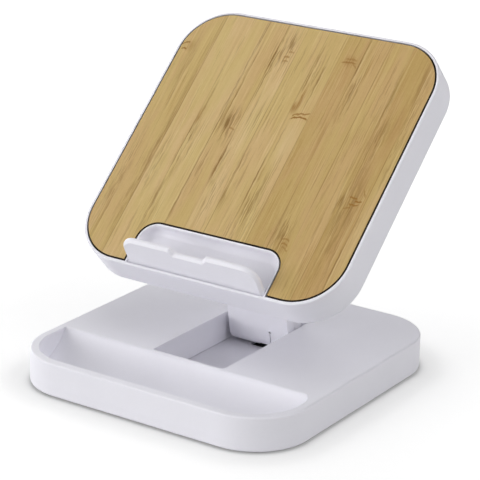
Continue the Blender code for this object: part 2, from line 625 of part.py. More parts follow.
def build_arm_shell(name, parent, side, material):
    """One half of the arm, split on the plane of its two pins; side is -1 in front and 1 behind."""
    half = ARM_WIDTH / 2
    shell = make_object(name, parent, lambda shape: add_side_profile(
        shape, arm_outline(), -half, half), material)
    reach = ARM_ROOT_RADIUS + OVERRUN
    split = sorted((-side * reach, side * FIT_GAP / 2))
    cut(shell, name + "_split", lambda shape: add_box(
        shape, (-half - OVERRUN, split[0], -reach), (half + OVERRUN, split[1], ARM_LENGTH + reach)))

    def forks(shape):
        add_disc_x(shape, 0, 0, ARM_ROOT_RADIUS - ARM_SKIN, ROOT_FORK_LEFT, ROOT_FORK_RIGHT)
        add_disc_x(shape, 0, ARM_LENGTH, HEAD_KNUCKLE_RADIUS + KNUCKLE_SWEEP_GAP,
                   -TOP_FORK_HALF, TOP_FORK_HALF)

    cut(shell, name + "_forks", forks)
    cut(shell, name + "_foot_opening", lambda shape: add_box(
        shape, (ROOT_FORK_LEFT, -reach, -reach), (ROOT_FORK_RIGHT, reach, -SKIN_DROP)))
    if side < 0:
        cut(shell, name + "_slit", lambda shape: add_box(
            shape, (ROOT_FORK_RIGHT - SLIT_WIDTH, -reach, -reach), (ROOT_FORK_RIGHT, 0, SLIT_RISE)))
        cut(shell, name + "_slit_end", lambda shape: add_disc_y(
            shape, ROOT_FORK_RIGHT - SLIT_WIDTH / 2, SLIT_RISE, SLIT_END_RADIUS, -reach, -SLIT_END_RADIUS))
    if side > 0:
        neck_low = ARM_LENGTH - NECK_THICKNESS / 2 - KNUCKLE_SWEEP_GAP / 2
        cut(shell, name + "_neck_path", lambda shape: add_box(
            shape, (-TOP_FORK_HALF, 0, neck_low), (TOP_FORK_HALF, reach, ARM_LENGTH + reach)))

    def hollows(shape):
        width = half - ARM_WALL
        depth = ARM_TOP_RADIUS - ARM_WALL
        low, high = sorted((0, side * depth))
        for start, end in arm_pockets():
            add_box(shape, (-width, low, start), (width, high, end))

    cut(shell, name + "_hollows", hollows)

    def bores(shape):
        bore_half = half - ARM_EAR_CAP
        for height in (0, ARM_LENGTH):
            add_disc_x(shape, 0, height, PIN_RADIUS + FIT_GAP, -bore_half, bore_half)

    cut(shell, name + "_pin_bores", bores)

    def screw_bores(shape):
        seat = ARM_TOP_RADIUS - ARM_SCREW_SINK - SCREW_HEAD_HEIGHT - FIT_GAP
        tip = seat - ARM_SCREW_LENGTH - FIT_GAP
        for share in ARM_SCREW_SHARES:
            add_disc_y(shape, 0, ARM_LENGTH * share, SCREW_RADIUS + FIT_GAP, tip, reach)

    cut(shell, name + "_screw_bores", screw_bores)
    if side > 0:

        def seats(shape):
            seat = ARM_TOP_RADIUS - ARM_SCREW_SINK - SCREW_HEAD_HEIGHT - FIT_GAP
            for share in ARM_SCREW_SHARES:
                add_disc_y(shape, 0, ARM_LENGTH * share, SCREW_HEAD_RADIUS + FIT_GAP, seat, reach)

        cut(shell, name + "_screw_seats", seats)
    return shell


def build_arm(parent, plastic, steel):
    """Both arm shells, the screws between them and the two hinge pins."""
    build_arm_shell("arm_front_shell", parent, -1, plastic)
    build_arm_shell("arm_rear_shell", parent, 1, plastic)
    inward = Matrix.Rotation(math.pi / 2, 4, "X")
    for number, share in enumerate(ARM_SCREW_SHARES, start=1):
        make_screw("arm_screw_%d" % number, parent,
                   (0, ARM_TOP_RADIUS - ARM_SCREW_SINK, ARM_LENGTH * share), inward, ARM_SCREW_LENGTH, steel)
    build_hinge_pin("base_hinge_pin", parent, (0, 0), steel)
    build_hinge_pin("head_hinge_pin", parent, (0, ARM_LENGTH), steel)


def head_screw_places():
    """Plan places of the screws that close the head."""
    return [(x * HEAD_SCREW_OFFSET, HEAD_CENTRE_Y + y * HEAD_SCREW_OFFSET) for y in (-1, 1) for x in (-1, 1)]


def foot_tab(width, height, radius, foot):
    """Outline of a tab that rises from a line near the head's lower edge, with two round upper corners."""
    half = width / 2
    points = [(-half, foot), (half, foot)]
    points += arc(half - radius, height - radius, radius, 0, math.pi / 2, CORNER_STEPS)
    points += arc(-half + radius, height - radius, radius, math.pi / 2, math.pi, CORNER_STEPS)
    return points


def port_outline(width, height):
    """Outline in (x, z) of a slot with round ends around the port's middle."""
    radius = height / 2
    reach = width / 2 - radius
    points = arc(reach, PORT_Z, radius, -math.pi / 2, math.pi / 2, CORNER_STEPS)
    points += arc(-reach, PORT_Z, radius, math.pi / 2, 3 * math.pi / 2, CORNER_STEPS)
    return points


def build_head_frame(parent, material):
    """Front casing of the head: rim, bamboo pocket, lip bay and screw bosses."""
    frame = make_object("head_front_frame", parent, lambda shape: add_soft_block(
        shape, HEAD_SIDE, HEAD_CORNER_RADIUS, HEAD_EDGE_RADIUS, HEAD_BACK_Z, HEAD_FACE_Z,
        HEAD_CENTRE_Y), material)
    inner = rounded_square(HEAD_SIDE - 2 * HEAD_WALL, HEAD_CORNER_RADIUS - HEAD_WALL, HEAD_CENTRE_Y)
    cut(frame, "head_cavity", lambda shape: add_plate(shape, inner, HEAD_BACK_Z - OVERRUN, WEB_BOTTOM))

    pocket_outline = rounded_square(HEAD_SIDE - 2 * RIM_WIDTH, HEAD_CORNER_RADIUS - RIM_WIDTH, HEAD_CENTRE_Y)
    pocket = make_tool("bamboo_pocket", parent, lambda shape: add_plate(
        shape, pocket_outline, POCKET_FLOOR, HEAD_FACE_Z + OVERRUN))
    island = foot_tab(ISLAND_WIDTH, HEAD_FOOT_Y + ISLAND_HEIGHT, CUTOUT_RADIUS - SEAM, HEAD_FOOT_Y)
    cut(pocket, "bay_island", lambda shape: add_plate(
        shape, island, POCKET_FLOOR - OVERRUN, HEAD_FACE_Z + 2 * OVERRUN))
    apply_tool(frame, pocket, "DIFFERENCE")

    tub = foot_tab(BAY_WIDTH + 2 * BAY_SIDE_WALL, BAY_TOP_Y + BAY_SIDE_WALL,
                   CUTOUT_RADIUS - SEAM - BAY_RIM + BAY_SIDE_WALL, HEAD_FOOT_Y + HEAD_WALL / 2)
    join(frame, "bay_tub", lambda shape: add_plate(
        shape, tub, BAY_FLOOR_Z - BAY_FLOOR, POCKET_FLOOR - HEAD_WEB / 2))

    def bosses(shape):
        for x, y in head_screw_places():
            add_disc_z(shape, x, y, BOSS_RADIUS, HEAD_COVER_TOP + FIT_GAP, POCKET_FLOOR - HEAD_WEB / 2)
        for side in (-1, 1):
            add_disc_z(shape, side * HEAD_BRACKET_SCREW_X, 0, BOSS_RADIUS,
                       HEAD_BRACKET_TOP + FIT_GAP, POCKET_FLOOR - HEAD_WEB / 2)

    join(frame, "head_bosses", bosses)

    bay = foot_tab(BAY_WIDTH, BAY_TOP_Y, CUTOUT_RADIUS - SEAM - BAY_RIM, BAY_BOTTOM_Y)
    cut(frame, "lip_bay", lambda shape: add_plate(shape, bay, BAY_FLOOR_Z, HEAD_FACE_Z + OVERRUN))

    def bores(shape):
        for x, y in head_screw_places():
            add_disc_z(shape, x, y, SCREW_RADIUS + FIT_GAP, HEAD_BACK_Z,
                       HEAD_BACK_Z + SCREW_HEAD_HEIGHT + SCREW_LENGTH + SCREW_TIP_GAP)
        for side in (-1, 1):
            add_disc_z(shape, side * HEAD_BRACKET_SCREW_X, 0, SCREW_RADIUS + FIT_GAP, HEAD_BACK_Z,
                       HEAD_BRACKET_BOTTOM + HEAD_BRACKET_SCREW_LENGTH + SCREW_TIP_GAP)
        pin_half = BAY_WIDTH / 2 + LIP_PIN_HOLD + FIT_GAP
        add_disc_x(shape, LIP_AXIS_Y, LIP_AXIS_Z, LIP_PIN_RADIUS + FIT_GAP, -pin_half, pin_half)

    cut(frame, "head_bores", bores)
    cut(frame, "port_window", lambda shape: add_front_profile(
        shape, port_outline(PORT_WIDTH + 2 * FIT_GAP, PORT_HEIGHT + 2 * FIT_GAP),
        HEAD_CREST_Y - HEAD_WALL - OVERRUN, HEAD_CREST_Y + OVERRUN))
    return frame


def build_bamboo(parent, material):
    """Bamboo face plate with the cut-out round the lip bay."""
    inset = RIM_WIDTH + SEAM
    outline = rounded_square(HEAD_SIDE - 2 * inset, HEAD_CORNER_RADIUS - inset, HEAD_CENTRE_Y)
    panel = make_object("bamboo_panel", parent, lambda shape: add_plate(
        shape, outline, BAMBOO_BOTTOM, BAMBOO_TOP), material)
    cutout = foot_tab(CUTOUT_WIDTH, HEAD_FOOT_Y + CUTOUT_HEIGHT, CUTOUT_RADIUS, HEAD_FOOT_Y)
    cut(panel, "panel_cutout", lambda shape: add_plate(
        shape, cutout, BAMBOO_BOTTOM - OVERRUN, BAMBOO_TOP + OVERRUN))


def build_head_cover(parent, plastic, steel):
    """Rear cover of the head with the bracket's slot and its flush screws."""
    inset = HEAD_WALL + FIT_GAP
    outline = rounded_square(HEAD_SIDE - 2 * inset, HEAD_CORNER_RADIUS - inset, HEAD_CENTRE_Y)
    cover = make_object("head_rear_cover", parent, lambda shape: add_plate(
        shape, outline, HEAD_BACK_Z, HEAD_COVER_TOP), plastic)

    def openings(shape):
        neck = rounded_rectangle(HEAD_KNUCKLE_WIDTH + 2 * FIT_GAP, NECK_THICKNESS + 2 * FIT_GAP,
                                 SLOT_CORNER_RADIUS)
        add_plate(shape, neck, HEAD_BACK_Z - OVERRUN, HEAD_COVER_TOP + OVERRUN)
        for x, y in head_screw_places():
            add_disc_z(shape, x, y, SCREW_RADIUS + FIT_GAP, HEAD_BACK_Z - OVERRUN, HEAD_COVER_TOP + OVERRUN)

    def seats(shape):
        for x, y in head_screw_places():
            add_disc_z(shape, x, y, SCREW_HEAD_RADIUS + FIT_GAP, HEAD_BACK_Z - OVERRUN,
                       HEAD_BACK_Z + SCREW_SEAT)

    cut(cover, "cover_openings", openings)
    cut(cover, "cover_screw_seats", seats)
    for number, (x, y) in enumerate(head_screw_places(), start=1):
        make_screw("head_cover_screw_%d" % number, parent, (x, y, HEAD_BACK_Z + SCREW_HEAD_SINK),
                   Matrix.Identity(4), SCREW_LENGTH, steel)


def build_head_bracket(parent, steel):
    """Bracket that joins the head to its hinge: knuckle, neck and inner plate, with its screws."""
    bracket = make_object("head_hinge_bracket", parent, lambda shape: add_disc_x(
        shape, 0, 0, HEAD_KNUCKLE_RADIUS, -HEAD_KNUCKLE_WIDTH / 2, HEAD_KNUCKLE_WIDTH / 2), steel)
    half = HEAD_KNUCKLE_WIDTH / 2
    join(bracket, "head_bracket_neck", lambda shape: add_box(
        shape, (-half, -NECK_THICKNESS / 2, 0), (half, NECK_THICKNESS / 2, HEAD_BRACKET_TOP)))
    plate = rounded_rectangle(HEAD_BRACKET_WIDTH, BRACKET_LENGTH, BRACKET_CORNER_RADIUS)
    join(bracket, "head_bracket_plate", lambda shape: add_plate(
        shape, plate, HEAD_BRACKET_BOTTOM, HEAD_BRACKET_TOP))

    def bores(shape):
        add_disc_x(shape, 0, 0, PIN_RADIUS + FIT_GAP, -TOP_FORK_HALF, TOP_FORK_HALF)
        for side in (-1, 1):
            add_disc_z(shape, side * HEAD_BRACKET_SCREW_X, 0, SCREW_RADIUS + FIT_GAP,
                       HEAD_BRACKET_BOTTOM - OVERRUN, HEAD_BRACKET_TOP + OVERRUN)

    cut(bracket, "head_bracket_bores", bores)
    for number, side in enumerate((-1, 1), start=1):
        make_screw("head_bracket_screw_%d" % number, parent,
                   (side * HEAD_BRACKET_SCREW_X, 0, HEAD_COVER_TOP + FIT_GAP), Matrix.Identity(4),
                   HEAD_BRACKET_SCREW_LENGTH, steel)


def build_electronics(parent, copper, ferrite, board_green, steel):
    """Charging coil, ferrite sheet, circuit board and power port."""

    def winding(shape):
        outer = arc(0, COIL_Y, COIL_RADIUS, 0, 2 * math.pi, 2 * ROUND_STEPS)[:-1]
        add_plate(shape, outer, COIL_TOP - COIL_THICKNESS, COIL_TOP)

    coil = make_object("charging_coil", parent, winding, copper)
    cut(coil, "coil_hole", lambda shape: add_disc_z(
        shape, 0, COIL_Y, COIL_HOLE_RADIUS, COIL_TOP - COIL_THICKNESS - OVERRUN, COIL_TOP + OVERRUN))
    sheet = rounded_rectangle(FERRITE_SIDE, FERRITE_SIDE, FERRITE_CORNER_RADIUS, 0, COIL_Y)
    make_object("ferrite_sheet", parent, lambda shape: add_plate(
        shape, sheet, FERRITE_TOP - FERRITE_THICKNESS, FERRITE_TOP), ferrite)
    board = rounded_rectangle(BOARD_WIDTH, BOARD_LENGTH, BOARD_CORNER_RADIUS, 0, BOARD_Y)
    make_object("charger_board", parent, lambda shape: add_plate(
        shape, board, BOARD_BOTTOM, BOARD_TOP), board_green)

    back_y = PORT_MOUTH_Y - PORT_LENGTH
    port = make_object("usb_port", parent, lambda shape: add_front_profile(
        shape, port_outline(PORT_WIDTH, PORT_HEIGHT), back_y, PORT_MOUTH_Y), steel)
    cut(port, "port_mouth", lambda shape: add_front_profile(
        shape, port_outline(PORT_WIDTH - 2 * PORT_WALL, PORT_HEIGHT - 2 * PORT_WALL),
        back_y + PORT_BACK, PORT_MOUTH_Y + OVERRUN))
    half = PORT_TONGUE_WIDTH / 2
    join(port, "port_tongue", lambda shape: add_box(
        shape, (-half, back_y + PORT_BACK / 2, PORT_Z - PORT_TONGUE_THICKNESS / 2),
        (half, back_y + PORT_BACK + PORT_TONGUE_LENGTH, PORT_Z + PORT_TONGUE_THICKNESS / 2)))


def lip_front_outline():
    """Front outline of the lip: round upper corners and a shallow notch in the middle."""
    half = LIP_WIDTH / 2
    radius = LIP_CORNER_RADIUS
    foot = -LIP_BARREL_RADIUS - OVERRUN
    points = [(-half, foot), (half, foot)]
    points += arc(half - radius, LIP_LENGTH - radius, radius, 0, math.pi / 2, CORNER_STEPS)
    points += [(NOTCH_WIDTH / 2, LIP_LENGTH), (NOTCH_FLOOR_WIDTH / 2, LIP_LENGTH - NOTCH_DEPTH)]
    points += [(-NOTCH_FLOOR_WIDTH / 2, LIP_LENGTH - NOTCH_DEPTH), (-NOTCH_WIDTH / 2, LIP_LENGTH)]
    points += arc(-half + radius, LIP_LENGTH - radius, radius, math.pi / 2, math.pi, CORNER_STEPS)
    return points


def lip_side_outline():
    """Side outline of the lip: a flat plate that grows out of a round barrel."""
    outer = -LIP_BARREL_RADIUS
    inner = outer + LIP_THICKNESS
    meet = math.acos(inner / LIP_BARREL_RADIUS)
    points = [(inner, LIP_LENGTH), (outer + LIP_EDGE, LIP_LENGTH), (outer, LIP_LENGTH - LIP_EDGE)]
    points += arc(0, 0, LIP_BARREL_RADIUS, math.pi, 2 * math.pi + meet, ROUND_STEPS)
    return points


def build_lip(parent, plastic, steel):
    """Flip-out phone lip and the pin through its barrel."""
    half = LIP_WIDTH / 2
    lip = make_object("phone_lip", parent, lambda shape: add_side_profile(
        shape, lip_side_outline(), -half, half), plastic)
    reach = LIP_BARREL_RADIUS + OVERRUN
    keep(lip, "lip_outline", lambda shape: add_front_profile(shape, lip_front_outline(), -reach, reach))
    cut(lip, "lip_bore", lambda shape: add_disc_x(
        shape, 0, 0, LIP_PIN_RADIUS + FIT_GAP, -half - OVERRUN, half + OVERRUN))
    pin_half = BAY_WIDTH / 2 + LIP_PIN_HOLD
    make_object("lip_hinge_pin", parent, lambda shape: add_disc_x(
        shape, 0, 0, LIP_PIN_RADIUS, -pin_half, pin_half), steel)


def main():
    """Build the stand at rest: arm up, head tilted, lip open."""
    clear_scene()
    white = make_material("white_plastic", (0.80, 0.80, 0.83), 0.45)
    bamboo = make_material("bamboo", (0.58, 0.41, 0.20), 0.45)
    rubber = make_material("pad_rubber", (0.05, 0.05, 0.05), 0.85)
    steel = make_material("steel", (0.55, 0.55, 0.57), 0.35, 1.0)
    copper = make_material("copper", (0.80, 0.40, 0.20), 0.40, 1.0)
    ferrite = make_material("ferrite", (0.05, 0.05, 0.055), 0.60)
    board_green = make_material("board_green", (0.02, 0.12, 0.05), 0.50)

    base = make_axis("base_frame", None, (0, 0, 0), 0)
    arm_axis = make_axis("arm_axis", base, (0, HINGE_Y, HINGE_Z), ARM_LEAN)
    head_axis = make_axis("head_axis", arm_axis, (0, 0, ARM_LENGTH), HEAD_TILT - ARM_LEAN)
    lip_axis = make_axis("lip_axis", head_axis, (0, LIP_AXIS_Y, LIP_AXIS_Z), -LIP_LEAN)

    build_base_housing(base, white)
    build_base_underside(base, white, rubber, steel)
    build_base_bracket(base, steel)
    build_washers("base_hinge", base, (HINGE_Y, HINGE_Z), BASE_KNUCKLE_X, BASE_KNUCKLE_WIDTH, steel)
    build_arm(arm_axis, white, steel)
    build_washers("head_hinge", head_axis, (0, 0), 0, HEAD_KNUCKLE_WIDTH, steel)
    build_head_frame(head_axis, white)
    build_bamboo(head_axis, bamboo)
    build_head_cover(head_axis, white, steel)
    build_head_bracket(head_axis, steel)
    build_electronics(head_axis, copper, ferrite, board_green, steel)
    build_lip(lip_axis, white, steel)
    bpy.context.view_layer.update()


main()
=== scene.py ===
"""Looks of the folding wireless charging stand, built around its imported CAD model.
Metres, +Z up.  Each piece is modelled in a frame of its body and set in place as soon as it is made.
"""
import math

import bmesh
import bpy
from mathutils import Matrix, Vector

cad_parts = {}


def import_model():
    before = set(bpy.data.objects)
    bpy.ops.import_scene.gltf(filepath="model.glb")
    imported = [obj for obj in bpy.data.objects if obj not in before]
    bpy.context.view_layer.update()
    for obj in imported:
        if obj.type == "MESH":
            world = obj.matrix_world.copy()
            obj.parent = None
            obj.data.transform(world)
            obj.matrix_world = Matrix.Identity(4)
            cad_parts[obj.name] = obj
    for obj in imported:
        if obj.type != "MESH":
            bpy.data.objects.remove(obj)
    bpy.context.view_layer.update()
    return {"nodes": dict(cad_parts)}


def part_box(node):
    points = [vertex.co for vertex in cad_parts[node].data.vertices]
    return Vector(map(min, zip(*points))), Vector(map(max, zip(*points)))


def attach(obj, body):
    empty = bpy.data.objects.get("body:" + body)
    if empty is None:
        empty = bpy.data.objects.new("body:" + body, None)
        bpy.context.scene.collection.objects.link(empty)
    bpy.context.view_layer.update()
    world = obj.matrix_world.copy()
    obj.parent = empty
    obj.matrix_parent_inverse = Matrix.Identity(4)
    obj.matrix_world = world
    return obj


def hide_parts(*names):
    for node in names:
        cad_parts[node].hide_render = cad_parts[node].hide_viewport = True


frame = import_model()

# Gaps, and how far a cutting tool reaches past what it cuts
FIT = 0.00025
OVER = 0.0020

# Base: the tray's corners and crest, the top edge and the foot's window follow the photo, not the solid
BASE_SIDE = 0.1100
BASE_HEIGHT = 0.0126
BASE_RADIUS = 0.0207
BASE_WALL = 0.0031
SKIRT_WALL = 0.0028
BASE_EDGE = 0.0008
BASE_TOP_EDGE = 0.0007
DECK = 0.0018
SKIRT_LIFT = 0.0004
TRAY_FLOOR_WIDTH = 0.0089
TRAY_FLOOR = 0.00275
TRAY_BACK = -0.0255
TRAY_BACK_RADIUS = 0.0012
TRAY_RIGHT_RADIUS = 0.0095
TRAY_ROUND = 0.0014
CREST_SLOPE = 0.12
CREST_LIFT = 0.0002
SCOOP_WALL = 0.0014
SLOT_HALF = 0.0148
SLOT_FRONT = -0.0241
SLOT_REAR = 0.0299
SLOT_WALL = 0.0012
SLOT_RADIUS = 0.0006
INSIDE_FLOOR = 0.00185
PAD_INSET = 0.0040
PAD_THICKNESS = 0.0005
COVER_BOTTOM = 0.00075
COVER_TOP = 0.0016
CUP_FLOOR = 0.0012
CUP_WALL = 0.0016
FOOT_WINDOW = (-0.0055, 0.0229, 0.0050, 0.0286)

# Arm and hinges: the root, the slit and the foot's notch follow the photo, not the solid
HINGE_Y = 0.0246
HINGE_Z = 0.0069
ARM_LENGTH = 0.0440
ARM_WIDTH = 0.0254
ARM_ROOT_RADIUS = 0.0049
ARM_TOP_RADIUS = 0.0044
ARM_LEAN = math.radians(11.5)
ARM_WALL = 0.0018
ARM_RIB = 0.0050
ARM_SKIN = 0.0008
ARM_CAP = 0.0009
ROOT_TRIM = 0.0004
SKIN_DROP = 0.0023
SLIT_WIDTH = 0.0003
SLIT_RISE = 0.0035
SLIT_END = 0.0005
FOOT_NOTCH = 0.0010
PIN_RADIUS = 0.0015
KNUCKLE_GAP = 0.0008
WASHER_SPACE = 0.0007
BASE_KNUCKLE_X = 0.0021
BASE_KNUCKLE_WIDTH = 0.0045
HEAD_KNUCKLE_WIDTH = 0.0116
HEAD_KNUCKLE_RADIUS = 0.0041
NECK = 0.0060
TONGUE_TOP = 0.0050
BRACKET_WIDTH = 0.0280
BRACKET_LENGTH = 0.0080
BRACKET_THICKNESS = 0.0015
BRACKET_RADIUS = 0.0015
BRACKET_SCREW_X = 0.0100

# Head: its edge and the height of the panel follow the photo, not the solid
HEAD_SIDE = 0.1078
HEAD_THICKNESS = 0.0128
HEAD_RADIUS = 0.0188
HEAD_TILT = math.radians(42.65)
HEAD_WALL = 0.0022
HEAD_EDGE = 0.00064
HEAD_WEB = 0.0012
HEAD_COVER = 0.0020
FOLD_GAP = 0.0003
RIM = 0.00105
SEAM = 0.0006
BAMBOO = 0.0015
BAMBOO_SINK = 0.0001
PROUD = 0.00025
PANEL_EDGE = 0.00012
CUTOUT_WIDTH = 0.0590
CUTOUT_HEIGHT = 0.0184
CUTOUT_RADIUS = 0.0074
PORT_WIDTH = 0.0089
PORT_HEIGHT = 0.0032
PORT_WALL = 0.00035
PORT_LENGTH = 0.0070
PORT_BACK = 0.0008
PORT_RECESS = 0.0003
PORT_TONGUE_WIDTH = 0.0067
PORT_TONGUE_THICKNESS = 0.0007
PORT_TONGUE_LENGTH = 0.0048
BOARD_THICKNESS = 0.0010

# Lip and its bay: the notch, the edges and the bay's rounds follow the photo, not the solid
BAY_RIM = 0.0007
BAY_ROUND = 0.0006
BAY_RUN_OUT = 0.0026
BAY_FRONT_WALL = 0.0007
BAY_SIDE_WALL = 0.0020
BAY_FLOOR = 0.0010
LIP_GAP = 0.00025
LIP_SINK = 0.0001
LIP_FINGER_GAP = 0.0014
LIP_FRONT_GAP = 0.0001
LIP_BARREL = 0.0020
LIP_THICKNESS = 0.0020
LIP_LEAN = math.radians(13)
LIP_CHAMFER = 0.0010
LIP_EDGE = 0.00016
LIP_BACK_EDGE = 0.0004
LIP_PIN_RADIUS = 0.00075
LIP_PIN_HOLD = 0.0009
NOTCH_WIDTH = 0.0150
NOTCH_FLOOR_WIDTH = 0.0112
NOTCH_SLOPE = 0.0007
NOTCH_DEPTH = 0.0020

# Screws
SCREW_RADIUS = 0.0010
SCREW_HEAD = 0.0022
SCREW_HEAD_HEIGHT = 0.0009
SCREW_SINK = 0.0001
SCREW_LENGTH = 0.0060
SCREW_PITCH = 0.0005
SCREW_HOLE_DEPTH = 0.0074
SCREW_BOSS = 0.0028
# Size and depth of each ring from the socket's floor to the head's rim
SCREW_SOCKET = ((0.00105, 0.0005), (0.00105, 0.00006), (0.00115, 0.0))
SCREW_DOME = ((0.0015, 0.0), (0.0019, 0.00005), (0.0021, 0.00018), (SCREW_HEAD, 0.00042))
BASE_SCREW_X = 0.0410
BASE_SCREW_YS = (-0.0180, 0.0410)
HEAD_SCREW = 0.0425
ARM_SCREW_LENGTH = 0.0042
ARM_SCREW_SINK = 0.0005
ARM_SCREW_SHARES = (0.36, 0.66)

# Places on the head, measured from its hinge
CENTRE_Y = ARM_LENGTH - HINGE_Y
BACK_Z = BASE_HEIGHT + FOLD_GAP - HINGE_Z
FACE_Z = BACK_Z + HEAD_THICKNESS
FOOT_Y = CENTRE_Y - HEAD_SIDE / 2
CREST_Y = CENTRE_Y + HEAD_SIDE / 2
BAMBOO_TOP = FACE_Z - BAMBOO_SINK
POCKET_FLOOR = BAMBOO_TOP - BAMBOO - FIT
WEB_BOTTOM = POCKET_FLOOR - HEAD_WEB
COVER_TOP_Z = BACK_Z + HEAD_COVER
PORT_Z = COVER_TOP_Z + FIT + BOARD_THICKNESS + FIT + PORT_HEIGHT / 2
BAY_WIDTH = CUTOUT_WIDTH - 2 * SEAM - 2 * BAY_RIM
BAY_RADIUS = CUTOUT_RADIUS - SEAM - BAY_RIM
BAY_TOP = FOOT_Y + CUTOUT_HEIGHT - SEAM - BAY_RIM
BAY_BOTTOM = FOOT_Y + BAY_FRONT_WALL
LIP_Y = BAY_BOTTOM + LIP_GAP + LIP_BARREL
LIP_Z = FACE_Z - LIP_SINK - LIP_BARREL
BAY_FLOOR_Z = LIP_Z - LIP_BARREL - LIP_GAP
LIP_WIDTH = BAY_WIDTH - 2 * LIP_GAP
LIP_LENGTH = BAY_TOP - LIP_FINGER_GAP - LIP_Y
LIP_RADIUS = BAY_RADIUS - LIP_GAP

# Places along the hinges, and of the screws
FORK_LEFT = BASE_KNUCKLE_X - BASE_KNUCKLE_WIDTH / 2 - WASHER_SPACE
FORK_RIGHT = BASE_KNUCKLE_X + BASE_KNUCKLE_WIDTH / 2 + WASHER_SPACE
TOP_FORK = HEAD_KNUCKLE_WIDTH / 2 + WASHER_SPACE
SCREW_SEAT = SCREW_SINK + SCREW_HEAD_HEIGHT + FIT
BASE_SCREWS = [(x, y) for y in BASE_SCREW_YS for x in (-BASE_SCREW_X, BASE_SCREW_X)]
BASE_HOLES = sorted(BASE_SCREWS)
HEAD_SCREWS = [(x, CENTRE_Y + y) for y in (-HEAD_SCREW, HEAD_SCREW) for x in (-HEAD_SCREW, HEAD_SCREW)]
HEAD_HOLES = sorted(HEAD_SCREWS)

BASE_FRAME = Matrix.Identity(4)
ARM_FRAME = Matrix.Translation((0, HINGE_Y, HINGE_Z)) @ Matrix.Rotation(ARM_LEAN, 4, "X")
HEAD_FRAME = (ARM_FRAME @ Matrix.Translation((0, 0, ARM_LENGTH))
              @ Matrix.Rotation(HEAD_TILT - ARM_LEAN, 4, "X"))
LIP_FRAME = HEAD_FRAME @ Matrix.Translation((0, LIP_Y, LIP_Z)) @ Matrix.Rotation(-LIP_LEAN, 4, "X")
FACE_FRAME = HEAD_FRAME @ Matrix.Translation((0, CENTRE_Y, BAMBOO_TOP + PROUD))

# Points on a rounded corner and on a full circle
CORNER = 20
ROUND = 48


# Outlines and lofts

def arc(u, v, radius, start, end, steps):
    turns = [start + (end - start) * i / steps for i in range(steps + 1)]
    return [(u + radius * math.cos(turn), v + radius * math.sin(turn)) for turn in turns]


def circle(u, v, radius, steps=ROUND):
    return arc(u, v, radius, 0, 2 * math.pi, steps)[:-1]


def quarter(radius, steps):
    """Two offsets for each point of a quarter round: one shrinks to 0, the other grows from 0."""
    turns = [math.pi / 2 * i / steps for i in range(steps + 1)]
    return [(radius * (1 - math.sin(turn)), radius * (1 - math.cos(turn))) for turn in turns]


def slope(start, end, steps=6):
    """An eased slope between two corners."""
    shares = [i / steps for i in range(steps + 1)]
    return [(start[0] + (end[0] - start[0]) * t, start[1] + (end[1] - start[1]) * t * t * (3 - 2 * t))
            for t in shares]


def corner_box(low_u, high_u, low_v, high_v, low_radius, high_radius, steps=CORNER):
    q = math.pi / 2
    points = arc(high_u - high_radius, high_v - high_radius, high_radius, 0, q, steps)
    points += arc(low_u + high_radius, high_v - high_radius, high_radius, q, 2 * q, steps)
    points += arc(low_u + low_radius, low_v + low_radius, low_radius, 2 * q, 3 * q, steps)
    points += arc(high_u - low_radius, low_v + low_radius, low_radius, 3 * q, 4 * q, steps)
    return points


def rounded_box(width, length, radius, v=0, steps=CORNER):
    return corner_box(-width / 2, width / 2, v - length / 2, v + length / 2, radius, radius, steps)


def square(side, radius, inset=0.0, v=0):
    """A rounded square, drawn in by an inset."""
    return rounded_box(side - 2 * inset, side - 2 * inset, radius - inset, v)


def foot_tab(width, height, radius, foot, steps=CORNER):
    """A tab that stands on its foot, with round upper corners."""
    half = width / 2
    points = [(-half, foot), (half, foot)]
    points += arc(half - radius, height - radius, radius, 0, math.pi / 2, steps)
    points += arc(-half + radius, height - radius, radius, math.pi / 2, math.pi, steps)
    return points


def level(outline, z):
    return [(x, y, z) for x, y in outline]


def loft(bm, rings):
    levels = [[bm.verts.new(p) for p in ring] for ring in rings]
    for lower, upper in zip(levels, levels[1:]):
        for i in range(len(lower)):
            j = (i + 1) % len(lower)
            bm.faces.new((lower[i], lower[j], upper[j], upper[i]))
    bm.faces.new(list(reversed(levels[0])))
    bm.faces.new(levels[-1])


def plate(bm, outline, bottom, top):
    loft(bm, [level(outline, bottom), level(outline, top)])


def side_profile(bm, outline, left, right):
    loft(bm, [[(x, y, z) for y, z in outline] for x in (left, right)])


def front_profile(bm, outline, near, far):
    loft(bm, [[(x, y, z) for x, z in outline] for y in (near, far)])


def disc_x(bm, y, z, radius, left, right, steps=ROUND):
    side_profile(bm, circle(y, z, radius, steps), left, right)


def disc_y(bm, x, z, radius, near, far, steps=ROUND):
    front_profile(bm, circle(x, z, radius, steps), near, far)


def posts(bm, places, radius, bottom, top, steps=ROUND):
    for x, y in places:
        plate(bm, circle(x, y, radius, steps), bottom, top)


def block(bm, low, high):
    plate(bm, [(low[0], low[1]), (high[0], low[1]), (high[0], high[1]), (low[0], high[1])], low[2], high[2])


def stack(bm, side, radius, levels, v=0):
    """A rounded square, drawn in by its inset at each level."""
    loft(bm, [level(square(side, radius, inset, v), z) for z, inset in levels])


def soft_block(bm, side, radius, top_edge, bottom_edge, bottom, top, v=0):
    """A rounded square block with quarter-round top and bottom edges."""
    levels = [(bottom + up, inset) for inset, up in quarter(bottom_edge, 5)]
    levels += [(top - down, inset) for down, inset in quarter(top_edge, 5)]
    stack(bm, side, radius, levels, v)


# Objects, cuts and edges

